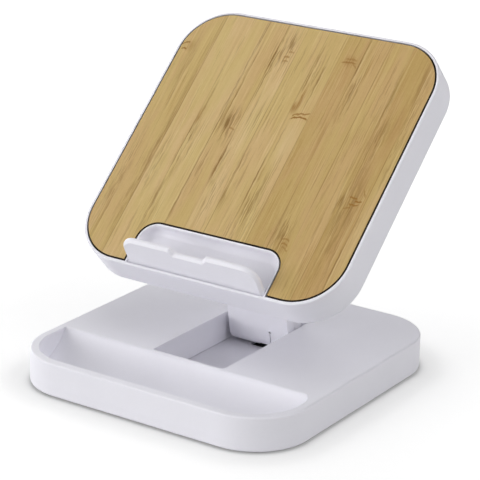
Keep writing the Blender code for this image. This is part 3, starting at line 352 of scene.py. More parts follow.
def raw(name, builder, *values):
    """A new object with the mesh that the builder makes from its values."""
    mesh = bpy.data.meshes.new(name)
    bm = bmesh.new()
    builder(bm, *values)
    bmesh.ops.recalc_face_normals(bm, faces=bm.faces)
    bm.to_mesh(mesh)
    bm.free()
    thing = bpy.data.objects.new(name, mesh)
    bpy.context.scene.collection.objects.link(thing)
    return thing


def settle(thing):
    """Turn the piece's modifiers into its mesh."""
    graph = bpy.context.evaluated_depsgraph_get()
    mesh = bpy.data.meshes.new_from_object(thing.evaluated_get(graph))
    old = thing.data
    thing.modifiers.clear()
    thing.data = mesh
    bpy.data.meshes.remove(old)


def combine(target, operation, builder, *values):
    """Join, cut or keep with another object, or with one that a builder makes."""
    tool = raw("tool", builder, *values) if callable(builder) else builder
    modifier = target.modifiers.new("combine", "BOOLEAN")
    modifier.operation = operation
    modifier.solver = "EXACT"
    modifier.object = tool
    settle(target)
    mesh = tool.data
    bpy.data.objects.remove(tool)
    bpy.data.meshes.remove(mesh)


def cut(target, *tool):
    combine(target, "DIFFERENCE", *tool)


def join(target, *tool):
    combine(target, "UNION", *tool)


def keep(target, *tool):
    combine(target, "INTERSECT", *tool)


def tidy(thing):
    """Weld the seams that cuts leave and drop needless points on flat faces."""
    bm = bmesh.new()
    bm.from_mesh(thing.data)
    bmesh.ops.remove_doubles(bm, verts=bm.verts, dist=2e-6)
    bmesh.ops.dissolve_degenerate(bm, edges=bm.edges, dist=2e-6)
    bmesh.ops.dissolve_limit(bm, angle_limit=math.radians(0.4), verts=bm.verts, edges=bm.edges)
    bm.to_mesh(thing.data)
    bm.free()


def soften(thing, width, segments=3, angle=32):
    """Round the sharp edges and shade the piece smooth."""
    tidy(thing)
    bevel = thing.modifiers.new("edges", "BEVEL")
    bevel.width = width
    bevel.segments = segments
    bevel.limit_method = "ANGLE"
    bevel.angle_limit = math.radians(angle)
    settle(thing)
    smooth(thing)


def smooth(thing, angle=38):
    thing.data.shade_smooth()
    thing.data.set_sharp_from_angle(angle=math.radians(angle))
    weighted = thing.modifiers.new("normals", "WEIGHTED_NORMAL")
    weighted.keep_sharp = True
    weighted.weight = 80
    settle(thing)


def place(thing, matrix, body, slot, materials, node):
    """Set a finished piece in its frame, on its body, in place of its solid."""
    for material in materials:
        thing.data.materials.append(material)
    thing.matrix_world = matrix
    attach(thing, body)
    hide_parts(node)


# Node helpers

class Nodes:
    """A node tree with short calls for its maths."""

    def __init__(self, tree):
        self.tree = tree

    def add(self, kind, **values):
        node = self.tree.nodes.new(kind)
        for key, value in values.items():
            setattr(node, key, value)
        return node

    def wire(self, source, target):
        if isinstance(source, bpy.types.NodeSocket):
            self.tree.links.new(source, target)
        else:
            target.default_value = source

    def fill(self, node, **values):
        """Set or wire a node's inputs by name, with _ for a space."""
        for key, value in values.items():
            self.wire(value, node.inputs[key.replace("_", " ")])

    def math(self, operation, a, b=0.0, c=0.0, clamp=False):
        node = self.add("ShaderNodeMath", operation=operation, use_clamp=clamp)
        for socket, value in zip(node.inputs, (a, b, c)):
            self.wire(value, socket)
        return node.outputs[0]

    def plus(self, a, b):
        return self.math("ADD", a, b)

    def minus(self, a, b):
        return self.math("SUBTRACT", a, b)

    def times(self, a, b, clamp=False):
        return self.math("MULTIPLY", a, b, clamp=clamp)

    def larger(self, a, b):
        return self.math("MAXIMUM", a, b)

    def vector(self, operation, a, b):
        node = self.add("ShaderNodeVectorMath", operation=operation)
        self.wire(a, node.inputs[0])
        self.wire(b, node.inputs[1])
        return node.outputs[0]

    def length(self, vector):
        node = self.add("ShaderNodeVectorMath", operation="LENGTH")
        self.wire(vector, node.inputs[0])
        return node.outputs["Value"]

    def noise(self, vector, scale, detail=2.0, roughness=0.5, distortion=0.0):
        node = self.add("ShaderNodeTexNoise")
        self.fill(node, Vector=vector, Scale=scale, Detail=detail, Roughness=roughness, Distortion=distortion)
        return node.outputs["Fac"]

    def streaky(self, at, stretch, detail=2.0, roughness=0.5, distortion=0.0):
        """Noise with its own scale along each axis."""
        return self.noise(self.vector("MULTIPLY", at, stretch), 1.0, detail, roughness, distortion)

    def ramp(self, value, stops, interpolation="LINEAR"):
        node = self.add("ShaderNodeValToRGB")
        node.color_ramp.interpolation = interpolation
        elements = node.color_ramp.elements
        while len(elements) > 1:
            elements.remove(elements[-1])
        elements[0].position = stops[0][0]
        elements[0].color = stops[0][1]
        for position, color in stops[1:]:
            elements.new(position).color = color
        self.wire(value, node.inputs["Fac"])
        return node.outputs["Color"]

    def remap(self, value, low, high, to_low=0.0, to_high=1.0, kind="LINEAR"):
        node = self.add("ShaderNodeMapRange", interpolation_type=kind)
        self.fill(node, Value=value, From_Min=low, From_Max=high, To_Min=to_low, To_Max=to_high)
        return node.outputs["Result"]

    def step(self, value, low, high):
        """0 below low and 1 above high, smooth between."""
        return self.remap(value, low, high, kind="SMOOTHSTEP")

    def mix(self, factor, a, b, blend="MIX"):
        node = self.add("ShaderNodeMix", data_type="RGBA", blend_type=blend)
        self.wire(factor, node.inputs["Factor"])
        self.wire(a, node.inputs[6])
        self.wire(b, node.inputs[7])
        return node.outputs[2]

    def bump(self, height, strength, distance):
        node = self.add("ShaderNodeBump")
        self.fill(node, Strength=strength, Distance=distance, Height=height)
        return node


class Finish(Nodes):
    """A material's node tree, whose values go to its shader."""

    def __init__(self, name):
        self.material = bpy.data.materials.new(name)
        self.material.use_nodes = True
        super().__init__(self.material.node_tree)
        self.shader = self.tree.nodes["Principled BSDF"]

    def position(self):
        return self.add("ShaderNodeTexCoord").outputs["Object"]

    def set(self, **values):
        self.fill(self.shader, **values)

    def relief(self, *bumps):
        """Bumps laid over one another, each a height, a strength and a distance."""
        normal = None
        for height, strength, distance in bumps:
            node = self.bump(height, strength, distance)
            if normal:
                self.wire(normal, node.inputs["Normal"])
            normal = node.outputs["Normal"]
        self.set(Normal=normal)


def rgb(r, g, b):
    """A colour given as screen values above 10 and up to 255."""
    return tuple(((c / 255 + 0.055) / 1.055) ** 2.4 for c in (r, g, b)) + (1.0,)


def grey(value):
    return (value, value, value, 1.0)


# Plastic, metal and what lies inside

def plastic_material(name, light, dark, roughness=(0.40, 0.52)):
    """Moulded plastic: faint cloudy tone, fine spark texture."""
    n = Finish(name)
    at = n.position()
    cloud = n.noise(at, 38, 3, 0.55)
    spark = n.noise(at, 3200, 2, 0.6)
    grain = n.noise(at, 900, 3, 0.6)
    tone = n.plus(n.times(cloud, 0.7), n.times(grain, 0.3))
    n.set(Base_Color=n.mix(n.step(tone, 0.3, 0.7), dark, light), Specular_IOR_Level=0.45)
    n.set(Roughness=n.remap(grain, 0.25, 0.75, *roughness))
    n.relief((grain, 0.05, 0.00003), (spark, 0.10, 0.00002))
    return n.material


def metal_material(name, light, dark, roughness=(0.28, 0.45)):
    """Steel with faint drawn lines."""
    n = Finish(name)
    lines = n.streaky(n.position(), (60, 2600, 2600), 3, 0.6)
    stain = n.noise(n.position(), 260, 3, 0.6)
    tone = n.plus(n.times(lines, 0.5), n.times(stain, 0.5))
    n.set(Base_Color=n.mix(n.step(tone, 0.35, 0.65), dark, light), Metallic=1.0)
    n.set(Roughness=n.remap(lines, 0.3, 0.7, *roughness))
    n.relief((lines, 0.15, 0.00002))
    return n.material


def rubber_material():
    """Dark silicone with fine dots and a little dust."""
    n = Finish("silicone_pad")
    dots = n.noise(n.position(), 2600, 3, 0.7)
    dust = n.noise(n.position(), 120, 4, 0.6)
    n.set(Base_Color=n.mix(n.step(dust, 0.4, 0.75), rgb(44, 44, 46), rgb(62, 62, 64)))
    n.set(Roughness=n.remap(dots, 0.3, 0.7, 0.70, 0.88))
    n.relief((dots, 0.3, 0.00005))
    return n.material


def coil_material():
    """Flat coil of enamelled wire: fine rings about the coil's own middle."""
    n = Finish("coil_winding")
    low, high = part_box("charging_coil")
    reach = n.length(n.vector("SUBTRACT", n.position(), tuple((low + high) / 2)))
    turns = n.math("SINE", n.times(reach, 2 * math.pi / 0.0009))
    n.set(Base_Color=n.mix(n.step(turns, -0.9, 0.3), rgb(82, 38, 18), rgb(196, 116, 68)), Metallic=0.8)
    n.set(Roughness=n.remap(n.noise(n.position(), 900, 2), 0.3, 0.7, 0.28, 0.42))
    n.relief((turns, 0.5, 0.0001))
    return n.material


def ferrite_material():
    """Dark pressed powder."""
    n = Finish("ferrite_grain")
    specks = n.noise(n.position(), 2400, 4, 0.75)
    n.set(Base_Color=n.mix(n.step(specks, 0.35, 0.7), rgb(38, 38, 41), rgb(72, 71, 74)))
    n.set(Roughness=n.remap(specks, 0.3, 0.7, 0.5, 0.75))
    n.relief((specks, 0.2, 0.00003))
    return n.material


def board_material():
    """Solder mask with runs of copper showing through it."""
    n = Finish("solder_mask")
    at = n.position()
    wave = n.add("ShaderNodeTexWave", wave_type="BANDS", bands_direction="DIAGONAL")
    n.fill(wave, Vector=at, Scale=260, Distortion=6)
    cells = n.noise(at, 420, 2)
    runs = n.step(n.times(wave.outputs["Fac"], n.step(cells, 0.42, 0.5)), 0.55, 0.75)
    n.set(Base_Color=n.mix(runs, rgb(16, 74, 40), rgb(40, 122, 66)))
    n.set(Roughness=n.remap(cells, 0.3, 0.7, 0.28, 0.42))
    n.relief((runs, 0.3, 0.00004))
    return n.material


def burnt_and_seam_shade_material():
    """Edge of the panel, browned where it was cut; also laid on the head's pocket floor as painted shade in
    the seam round the panel.
    """
    n = Finish("burnt_edge_and_seam_shade")
    fibre = n.streaky(n.position(), (900, 900, 2600), 3, 0.6)
    patch = n.noise(n.position(), 160, 3, 0.6)
    tone = n.plus(n.times(fibre, 0.5), n.times(patch, 0.5))
    n.set(Base_Color=n.mix(n.step(tone, 0.35, 0.68), rgb(26, 19, 11), rgb(58, 42, 24)))
    n.set(Roughness=n.remap(fibre, 0.3, 0.7, 0.75, 0.9))
    n.relief((fibre, 0.3, 0.00004))
    return n.material


# Bamboo

MILLI = 0.001
# Edges between the bamboo strips across the face, from left to right
STRIP_EDGES = (-0.0540, -0.0484, -0.0394, -0.0306, -0.0212, -0.0129, -0.0049, 0.0040, 0.0123,
               0.0210, 0.0297, 0.0386, 0.0482, 0.0540)
# How light each strip is, from 0 to 1: each strip's own tone, with the right-hand strips darker as painted
# shade
STRIP_TONES_WITH_PAINTED_SHADE = (0.74, 0.62, 0.86, 0.84, 0.66, 0.88, 0.74, 0.72, 0.36, 0.46, 0.46, 0.24, 0.52)
# How dark each glue line is, in the order of the strip edges
GLUE_TONES = (0.0, 0.20, 0.45, 0.30, 0.55, 0.45, 0.55, 0.55, 0.45, 0.60, 0.55, 0.55, 0.55, 0.0)
# Dark fibre bundles, in millimetres: across, along, half width, half length, strength
STREAKS = (
    (-46.5, 28.8, 1.6, 14.0, 0.3), (-47.1, -30.2, 0.45, 16.0, 0.48), (-40.3, -0.7, 1.1, 52.0, 0.42),
    (-37.2, -11.5, 0.3, 10.0, 0.42), (-34.4, -40.0, 0.52, 9.0, 0.3), (-29.4, 17.0, 0.38, 9.0, 0.36),
    (-30.5, -2.6, 0.26, 11.0, 0.9), (-29.1, -3.1, 0.22, 9.5, 0.72), (-30.1, -26.2, 0.38, 8.0, 0.48),
    (-27.0, -3.6, 0.3, 7.0, 0.36), (-21.7, 30.8, 0.3, 23.0, 0.66), (-19.9, 23.9, 0.3, 18.0, 0.72),
    (-21.3, -21.3, 0.3, 16.0, 0.72), (-18.9, -6.6, 0.3, 7.0, 0.36), (-17.5, 7.7, 1.5, 3.5, 0.66),
    (-16.4, 11.1, 0.22, 4.5, 0.72), (-14.0, 5.2, 0.34, 7.0, 0.6), (-13.0, 37.7, 0.41, 6.5, 0.9),
    (-12.3, 25.9, 0.34, 11.0, 0.48), (-10.6, 41.1, 0.38, 7.5, 0.6), (-8.7, 45.6, 0.6, 5.5, 0.48),
    (-7.7, 36.2, 0.52, 3.0, 0.54), (-12.8, -7.1, 0.41, 9.5, 0.78), (-10.2, 17.0, 0.3, 8.0, 0.36),
    (-7.4, 14.1, 0.3, 5.0, 0.36), (-3.5, 16.0, 0.26, 19.0, 0.48), (-4.6, -13.0, 0.38, 9.0, 0.72),
    (4.7, 36.2, 0.38, 9.5, 0.84), (8.7, 30.8, 0.38, 12.5, 0.66), (5.5, 5.2, 0.26, 9.0, 0.48),
    (4.0, -11.5, 0.34, 10.5, 0.78), (5.4, -26.2, 0.38, 9.5, 0.54), (7.6, -19.4, 0.52, 13.0, 0.3),
    (21.3, 42.6, 0.26, 11.0, 0.9), (23.3, 29.8, 0.34, 10.0, 0.48), (25.0, 28.8, 0.34, 8.0, 0.36),
    (21.7, -27.2, 0.6, 9.0, 0.42), (24.7, -30.2, 0.52, 6.0, 0.3), (35.5, -23.8, 0.45, 7.0, 0.3),
    (39.0, 24.9, 0.34, 19.0, 0.42), (41.5, 12.1, 1.1, 9.0, 0.3), (42.4, -15.4, 4.2, 20.0, 0.34),
    (39.1, -11.5, 0.52, 4.5, 0.6), (45.6, -28.2, 0.6, 12.0, 0.3), (47.9, -36.1, 0.34, 12.0, 0.66),
    (47.3, 38.7, 0.9, 9.0, 0.42), (50.3, 3.3, 0.38, 22.0, 0.3))
# Amber stains, in the same order
STAINS = (
    (-29.7, 8.7, 1.0, 3.5, 0.55), (-21.0, -30.7, 0.8, 4.5, 0.45), (-12.7, -10.5, 0.7, 7.0, 0.45),
    (-41.7, -33.1, 1.6, 9.0, 0.2), (6.0, 22.4, 0.65, 7.0, 1.0), (4.8, 19.0, 0.9, 2.8, 0.9),
    (5.4, -8.5, 0.5, 6.0, 0.35), (17.1, 41.6, 2.6, 2.6, 0.45), (41.9, -12.5, 3.0, 4.0, 0.2),
    (26.1, -33.6, 3.0, 4.2, 0.4), (-48.7, 36.2, 2.2, 2.5, 0.35), (46.0, 19.0, 1.6, 12.0, 0.25))
# Patches of fine dark hatching, and of paler wood, in the same order
HATCHES = (
    (-48.5, -22.3, 2.6, 24.0, 0.55), (-41.1, -20.3, 2.4, 26.0, 0.35), (-36.7, -14.4, 2.6, 14.0, 0.45),
    (-29.6, -4.6, 2.4, 17.0, 0.6), (-29.9, -30.2, 2.4, 14.0, 0.45), (-21.0, 17.0, 2.0, 32.0, 0.45),
    (-16.5, 7.2, 4.2, 8.0, 0.95), (-19.0, -14.4, 2.8, 14.0, 0.5), (-12.3, 38.7, 2.4, 12.0, 0.85),
    (-8.4, 40.6, 2.6, 11.0, 0.9), (-12.1, -8.5, 1.8, 16.0, 0.55), (-9.2, -20.3, 3.2, 14.0, 0.5),
    (-4.2, -12.5, 2.2, 16.0, 0.55), (6.2, 34.7, 2.6, 15.0, 0.45), (6.9, -22.3, 3.2, 16.0, 0.65),
    (23.1, 30.8, 2.4, 18.0, 0.55), (23.8, -28.2, 3.4, 11.0, 0.8), (31.9, -8.5, 1.6, 22.0, 0.3),
    (41.9, 11.1, 3.0, 15.0, 0.6), (42.9, -12.5, 4.6, 10.0, 0.45), (39.2, -13.6, 1.8, 4.6, 0.95),
    (43.3, -34.1, 3.6, 14.0, 0.45), (49.2, 21.0, 1.8, 24.0, 0.55), (48.7, -26.2, 1.4, 20.0, 0.35),
    (38.8, 24.9, 1.6, 20.0, 0.4))
PALES = (
    (8.8, 5.2, 3.4, 10.0, 0.65), (-8.7, 7.2, 3.4, 12.0, 0.4), (-24.7, 19.0, 3.0, 20.0, 0.25),
    (-9.0, -22.3, 2.6, 14.0, 0.4), (50.5, -24.3, 1.4, 22.0, 0.35), (-20.8, 32.8, 0.35, 18.0, 0.6))
# Growth rings, in millimetres: across, along, half span, slope, arch, strength
RINGS = (
    (-50.7, 37.3, 1.7, 0.45, 0.3, 0.8), (-50.4, 34.7, 1.2, 0.05, 0.3, 0.9),
    (-7.9, 38.9, 1.3, 0.0, 0.1, 0.55), (-7.5, 37.1, 1.1, -0.1, 0.2, 0.5),
    (-6.9, 41.0, 1.2, 0.1, 0.1, 0.4), (-14.6, 6.4, 1.4, -0.3, 0.3, 0.5),
    (9.5, 17.3, 2.9, 0.15, 0.1, 0.75), (8.9, 15.8, 3.6, 0.1, 1.0, 0.95), (7.1, 16.6, 1.6, 0.35, 0.1, 0.7),
    (17.0, 41.2, 3.0, 0.02, 0.3, 0.65), (17.5, 42.5, 2.4, -0.05, 0.2, 0.45),
    (19.6, 40.2, 1.0, -0.9, 0.1, 0.5), (26.5, -30.6, 1.7, 0.0, 0.8, 0.55),
    (26.9, -32.5, 1.5, -0.2, 0.6, 0.6), (27.7, -34.3, 1.4, -0.5, 0.2, 0.45),
    (43.3, -10.1, 1.8, -0.15, 0.2, 0.8), (45.5, -11.1, 1.4, 0.15, 0.2, 1.0),
    (44.3, -12.9, 1.9, 0.05, -0.4, 0.8), (42.3, -14.2, 1.3, 0.3, 0.2, 0.5),
    (46.3, -7.8, 0.8, -1.6, 0.1, 0.6))
BAMBOO_TONES = (rgb(169, 133, 76), rgb(190, 157, 101), rgb(205, 176, 122), rgb(219, 195, 145))
BUNDLE = rgb(137, 103, 51)
AMBER = rgb(152, 108, 44)


def by_strip(n, index, values):
    """The value of each strip or glue line, looked up by its number."""
    count = len(values)
    stops = [(i / count, grey(value)) for i, value in enumerate(values)]
    return n.ramp(n.math("DIVIDE", n.plus(index, 0.5), float(count)), stops, "CONSTANT")


def spindle(n, spot, across, along, half_width, half_length, strength):
    """A soft spindle, strong in its middle."""
    node = n.add("ShaderNodeVectorMath", operation="MULTIPLY_ADD")
    n.wire(spot, node.inputs[0])
    n.wire((1 / (half_width * MILLI), 1 / (half_length * MILLI), 0), node.inputs[1])
    n.wire((-across / half_width, -along / half_length, 0), node.inputs[2])
    return n.remap(n.length(node.outputs[0]), 1.25, 0.35, 0.0, strength)


def spindles(n, spot, table):
    """The strongest of a table's spindles at each spot."""
    strongest = 0.0
    for row in table:
        strongest = n.larger(strongest, spindle(n, spot, *row))
    return strongest


def strip_lightness(n, number, local, broad, medium, fine):
    """Tone of each strip with its fibres, from dark to light; the strip tones also hold painted shade, darker
    towards the right.
    """
    silk = n.streaky(local, (170, 90, 90), 3, 0.6)
    speck = n.streaky(local, (2600, 900, 900), 3, 0.7)
    lightness = n.times(by_strip(n, number, STRIP_TONES_WITH_PAINTED_SHADE), 0.55)
    for source, weight in ((broad, 0.16), (medium, 0.23), (fine, 0.25), (silk, 0.14), (speck, 0.25)):
        lightness = n.plus(lightness, n.times(n.minus(source, 0.5), weight))
    cluster = n.step(n.streaky(local, (250, 24, 24), 2, 0.5), 0.44, 0.60)
    bristle = n.minus(n.streaky(local, (2300, 40, 40), 2, 0.6), 0.5)
    lightness = n.plus(lightness, n.times(bristle, n.math("MULTIPLY_ADD", cluster, 0.88, 0.12)))
    return n.plus(lightness, 0.22)


def tinted(n, local, color):
    """The wood's colour, a little redder in some places and yellower in others."""
    hue = n.streaky(local, (190, 38, 38), 2, 0.5)
    redder = n.mix(1.0, color, (1.015, 0.990, 1.0, 1.0), "MULTIPLY")
    yellower = n.mix(1.0, color, (0.985, 1.010, 0.900, 1.0), "MULTIPLY")
    return n.mix(n.step(hue, 0.35, 0.65), redder, yellower)


def glue_lines(n, at, place):
    """Thin lines between the strips, stronger and weaker along their length."""
    share = n.math("FRACT", place)
    edge = n.math("MINIMUM", share, n.minus(1.0, share))
    near = n.minus(1.0, n.step(edge, 0.006, 0.036))
    glue = n.times(near, by_strip(n, n.math("FLOOR", n.plus(place, 0.5)), GLUE_TONES))
    return n.times(glue, n.remap(n.streaky(at, (120, 34, 34), 2), 0.36, 0.64, 0.15, 1.35))


def growth_rings(n, at, wavering):
    """Short arched lines of growth rings."""
    axes = n.add("ShaderNodeSeparateXYZ")
    n.wire(n.vector("MULTIPLY", wavering, (1 / MILLI, 1 / MILLI, 1)), axes.inputs[0])
    rough = n.times(n.minus(n.streaky(at, (700, 400, 400), 2), 0.5), 0.5)
    height = n.plus(axes.outputs[1], rough)
    rings = 0.0
    for across, along, half_span, slant, arch, strength in RINGS:
        aside = n.minus(axes.outputs[0], across)
        reach = n.math("DIVIDE", aside, half_span)
        bow = n.times(n.times(reach, reach), arch)
        rise = n.minus(height, n.minus(n.math("MULTIPLY_ADD", aside, slant, along), bow))
        line = n.remap(n.math("ABSOLUTE", rise), 0.46, 0.20, 0.0, strength)
        inside = n.minus(1.0, n.step(n.math("ABSOLUTE", reach), 0.7, 1.05))
        rings = n.larger(rings, n.times(line, inside))
    return rings


def bamboo_material():
    """Glued bamboo: a tone for each strip, with painted shade darker towards the right, long fibres, dark
    bundles, glue lines and growth rings.
    """
    n = Finish("bamboo_strips")
    at = n.position()
    strip = n.add("ShaderNodeSeparateXYZ")
    n.wire(n.add("ShaderNodeUVMap", uv_map="strips").outputs["UV"], strip.inputs[0])
    place = strip.outputs[0]
    number = n.math("FLOOR", place)
    own = n.add("ShaderNodeTexWhiteNoise", noise_dimensions="1D")
    n.wire(n.plus(number, 0.5), own.inputs["W"])
    shift = own.outputs["Color"]
    local = n.vector("ADD", at, n.vector("MULTIPLY", shift, (3.0, 3.0, 3.0)))
    bend = n.add("ShaderNodeTexNoise")
    n.wire(n.vector("MULTIPLY", at, (150, 45, 45)), bend.inputs["Vector"])
    sway = n.vector("SUBTRACT", bend.outputs["Color"], (0.5, 0.5, 0.5))
    wavering = n.vector("ADD", at, n.vector("MULTIPLY", sway, (0.0009, 0.0014, 0.0)))

    fine = n.streaky(local, (2300, 80, 80), 3, 0.65)
    medium = n.streaky(local, (1150, 26, 26), 3, 0.55, 0.2)
    broad = n.streaky(local, (330, 16, 16), 2, 0.5)
    lightness = strip_lightness(n, number, local, broad, medium, fine)
    color = tinted(n, local, n.ramp(lightness, list(zip((0.0, 0.35, 0.65, 1.0), BAMBOO_TONES))))

    bundle = spindles(n, wavering, STREAKS)
    beside = spindles(n, wavering, [(across + half_width + 0.35, along, 0.3, half_length, strength)
                                    for across, along, half_width, half_length, strength in STREAKS])
    pale = n.larger(spindles(n, wavering, PALES), beside)
    lines = n.streaky(n.vector("ADD", wavering, shift), (1700, 105, 105), 2, 0.6)
    hatch = n.remap(lines, 0.38, 0.54, 0.25, 1.0)
    cuts = n.times(n.step(lines, 0.48, 0.60), spindles(n, wavering, HATCHES))
    threads = n.streaky(n.vector("SUBTRACT", wavering, shift), (2100, 42, 42), 2, 0.6)
    loose = n.times(n.step(threads, 0.56, 0.66), n.step(broad, 0.42, 0.58))
    glue = glue_lines(n, at, place)
    for layer, strength, tone in (
            (pale, 0.6, BAMBOO_TONES[3]), (cuts, 0.74, BUNDLE),
            (spindles(n, wavering, STAINS), n.times(hatch, 0.95), AMBER),
            (bundle, n.times(hatch, 1.15), BUNDLE), (loose, 0.36, BUNDLE), (glue, 0.85, BUNDLE),
            (growth_rings(n, at, wavering), 1.1, AMBER)):
        color = n.mix(n.times(layer, strength, clamp=True), color, tone)

    n.set(Base_Color=color, Specular_IOR_Level=0.35)
    n.set(Roughness=n.remap(medium, 0.3, 0.7, 0.46, 0.60))
    hollows = n.plus(n.times(glue, 0.8), n.times(bundle, 0.5))
    n.relief((n.minus(n.times(fine, 0.6), hollows), 0.22, 0.00006))
    return n.material


WHITE = plastic_material("white_shell", rgb(241, 240, 247), rgb(238, 237, 244))
WHITE_UNDER = plastic_material("white_cover", rgb(239, 238, 244), rgb(235, 234, 240), (0.48, 0.60))
STEEL = metal_material("plated_steel", rgb(196, 196, 200), rgb(168, 168, 173))
STEEL_DARK = metal_material("dull_steel", rgb(150, 150, 154), rgb(120, 120, 125), (0.38, 0.55))
STEEL_BLACK = metal_material("blackened_steel", rgb(30, 29, 31), rgb(19, 19, 21), (0.50, 0.66))
PAD = rubber_material()
COIL = coil_material()
FERRITE = ferrite_material()
BOARD = board_material()
BAMBOO_FACE = bamboo_material()
BURNT_AND_SEAM_SHADE = burnt_and_seam_shade_material()


# Base

def scoop(growth, back, floor, rounding=0.0, steps=28):
    """Side outline of the tray: flat floor, then an arc up to the deck, with its crest rounded over."""
    depth = BASE_HEIGHT - TRAY_FLOOR
    start = TRAY_FLOOR_WIDTH - (BASE_SIDE / 2 - BASE_WALL)
    run = TRAY_BACK - start
    base_radius = (run * run / depth + depth) / 2
    radius = base_radius + growth
    centre_z = TRAY_FLOOR + base_radius
    end = math.acos((centre_z - BASE_HEIGHT + rounding) / (radius + rounding))
    crest = []
    if rounding:
        crest_y = start + (radius + rounding) * math.sin(end)
        turns = (math.pi / 2 + end, math.pi / 2 + CREST_SLOPE)
        crest = arc(crest_y, BASE_HEIGHT - rounding, rounding, *turns, 8)[1:]
        back = crest[-1][0] + CREST_LIFT / math.tan(CREST_SLOPE)
        crest.append((back, crest[-1][1] + CREST_LIFT))
    points = [(back, BASE_HEIGHT + OVER), (-BASE_SIDE / 2, BASE_HEIGHT + OVER), (-BASE_SIDE / 2, floor)]
    points += arc(start, centre_z, radius, -math.pi / 2, -math.pi / 2 + end, steps)
    return points + crest


def under_tray(bm):
    """The wall under the tray, run half way into the walls at its sides."""
    top = BASE_HEIGHT - DECK / 2
    reach = (BASE_SIDE - BASE_WALL) / 2
    outline = scoop(SCOOP_WALL, TRAY_BACK + SCOOP_WALL, INSIDE_FLOOR)
    side_profile(bm, [(y, max(min(z, top), INSIDE_FLOOR)) for y, z in outline], -reach, reach)


def tray():
    """The tray's inside, as a cutting tool."""
    half = BASE_SIDE / 2
    inner = half - BASE_WALL
    back = TRAY_BACK + 2 * TRAY_ROUND
    top = BASE_HEIGHT + OVER / 2
    tool = raw("tray", side_profile, scoop(0, TRAY_BACK, TRAY_FLOOR, TRAY_ROUND), -half, half)
    inside = corner_box(-inner, inner, -inner, back, BASE_RADIUS - BASE_WALL, TRAY_BACK_RADIUS)
    keep(tool, plate, inside, 0, top)
    right = corner_box(-BASE_SIDE, inner, -BASE_SIDE, back, TRAY_RIGHT_RADIUS, TRAY_RIGHT_RADIUS)
    keep(tool, plate, right, 0, top)
    return tool


def base_shell():
    """Upper casing with its skirt, deck, tray and slot."""
    length = SLOT_REAR - SLOT_FRONT
    middle = (SLOT_REAR + SLOT_FRONT) / 2
    edges = (BASE_TOP_EDGE, BASE_EDGE)
    shell = raw("base_shell", soft_block, BASE_SIDE, BASE_RADIUS, *edges, SKIRT_LIFT, BASE_HEIGHT)
    cut(shell, plate, square(BASE_SIDE, BASE_RADIUS, SKIRT_WALL), -OVER, BASE_HEIGHT - DECK)
    tray_wall = raw("tray_wall", under_tray)
    keep(tray_wall, plate, square(BASE_SIDE, BASE_RADIUS, BASE_WALL / 2), 0, BASE_HEIGHT)
    join(shell, tray_wall)
    outside = (2 * (SLOT_HALF + SLOT_WALL), length + 2 * SLOT_WALL, SLOT_RADIUS + SLOT_WALL)
    join(shell, plate, rounded_box(*outside, middle, 6), INSIDE_FLOOR, BASE_HEIGHT - DECK / 2)
    cut(shell, tray())
    cut(shell, plate, rounded_box(2 * SLOT_HALF, length, SLOT_RADIUS, middle, 6), 0, BASE_HEIGHT + OVER)
    cut(shell, block, (FORK_LEFT + WASHER_SPACE - FIT, SLOT_REAR - OVER, 0),
        (FORK_RIGHT - WASHER_SPACE + FIT, SLOT_REAR + SLOT_WALL + OVER, TONGUE_TOP + FIT))
    soften(shell, 0.00022)
    place(shell, BASE_FRAME, "base", "white_plastic", [WHITE], "base_housing")


def bottom_cover():
    """Lower cover and slot floor, with screw cups and the opening under the arm's foot."""
    outline = square(BASE_SIDE, BASE_RADIUS, SKIRT_WALL + FIT)
    cover = raw("base_bottom", plate, outline, COVER_BOTTOM, COVER_TOP)
    middle = (COVER_BOTTOM + COVER_TOP) / 2
    seat = COVER_BOTTOM + SCREW_SEAT
    cup_top = seat + CUP_FLOOR
    join(cover, posts, BASE_HOLES, SCREW_HEAD + FIT + CUP_WALL, middle, cup_top)
    cut(cover, posts, BASE_HOLES, SCREW_HEAD + FIT, 0, seat)
    cut(cover, posts, BASE_HOLES, SCREW_RADIUS + FIT, 0, cup_top + OVER, 32)
    left, front, right, rear = FOOT_WINDOW
    cut(cover, block, (left, front, 0), (right, rear, COVER_TOP + OVER))
    soften(cover, 0.00015, 2)
    place(cover, BASE_FRAME, "base", "white_plastic", [WHITE_UNDER], "base_bottom_cover")


def grip_pad():
    """Pad under the base, with a soft lower edge."""
    edge = PAD_THICKNESS * 0.4
    levels = [(0, edge), (edge * 0.3, edge * 0.3), (edge, 0), (PAD_THICKNESS, 0)]
    pad = raw("grip_pad", stack, BASE_SIDE - 2 * PAD_INSET, BASE_RADIUS - PAD_INSET, levels)
    smooth(pad)
    place(pad, BASE_FRAME, "base", "pad_rubber", [PAD], "anti_slip_pad")


# Arm

def arm_outline():
    root = ARM_ROOT_RADIUS - ROOT_TRIM
    lean = math.asin((root - ARM_TOP_RADIUS) / ARM_LENGTH)
    points = arc(0, ARM_LENGTH, ARM_TOP_RADIUS, lean, math.pi - lean, 28)
    points += arc(0, 0, root, math.pi - lean, 2 * math.pi + lean, 28)
    return points


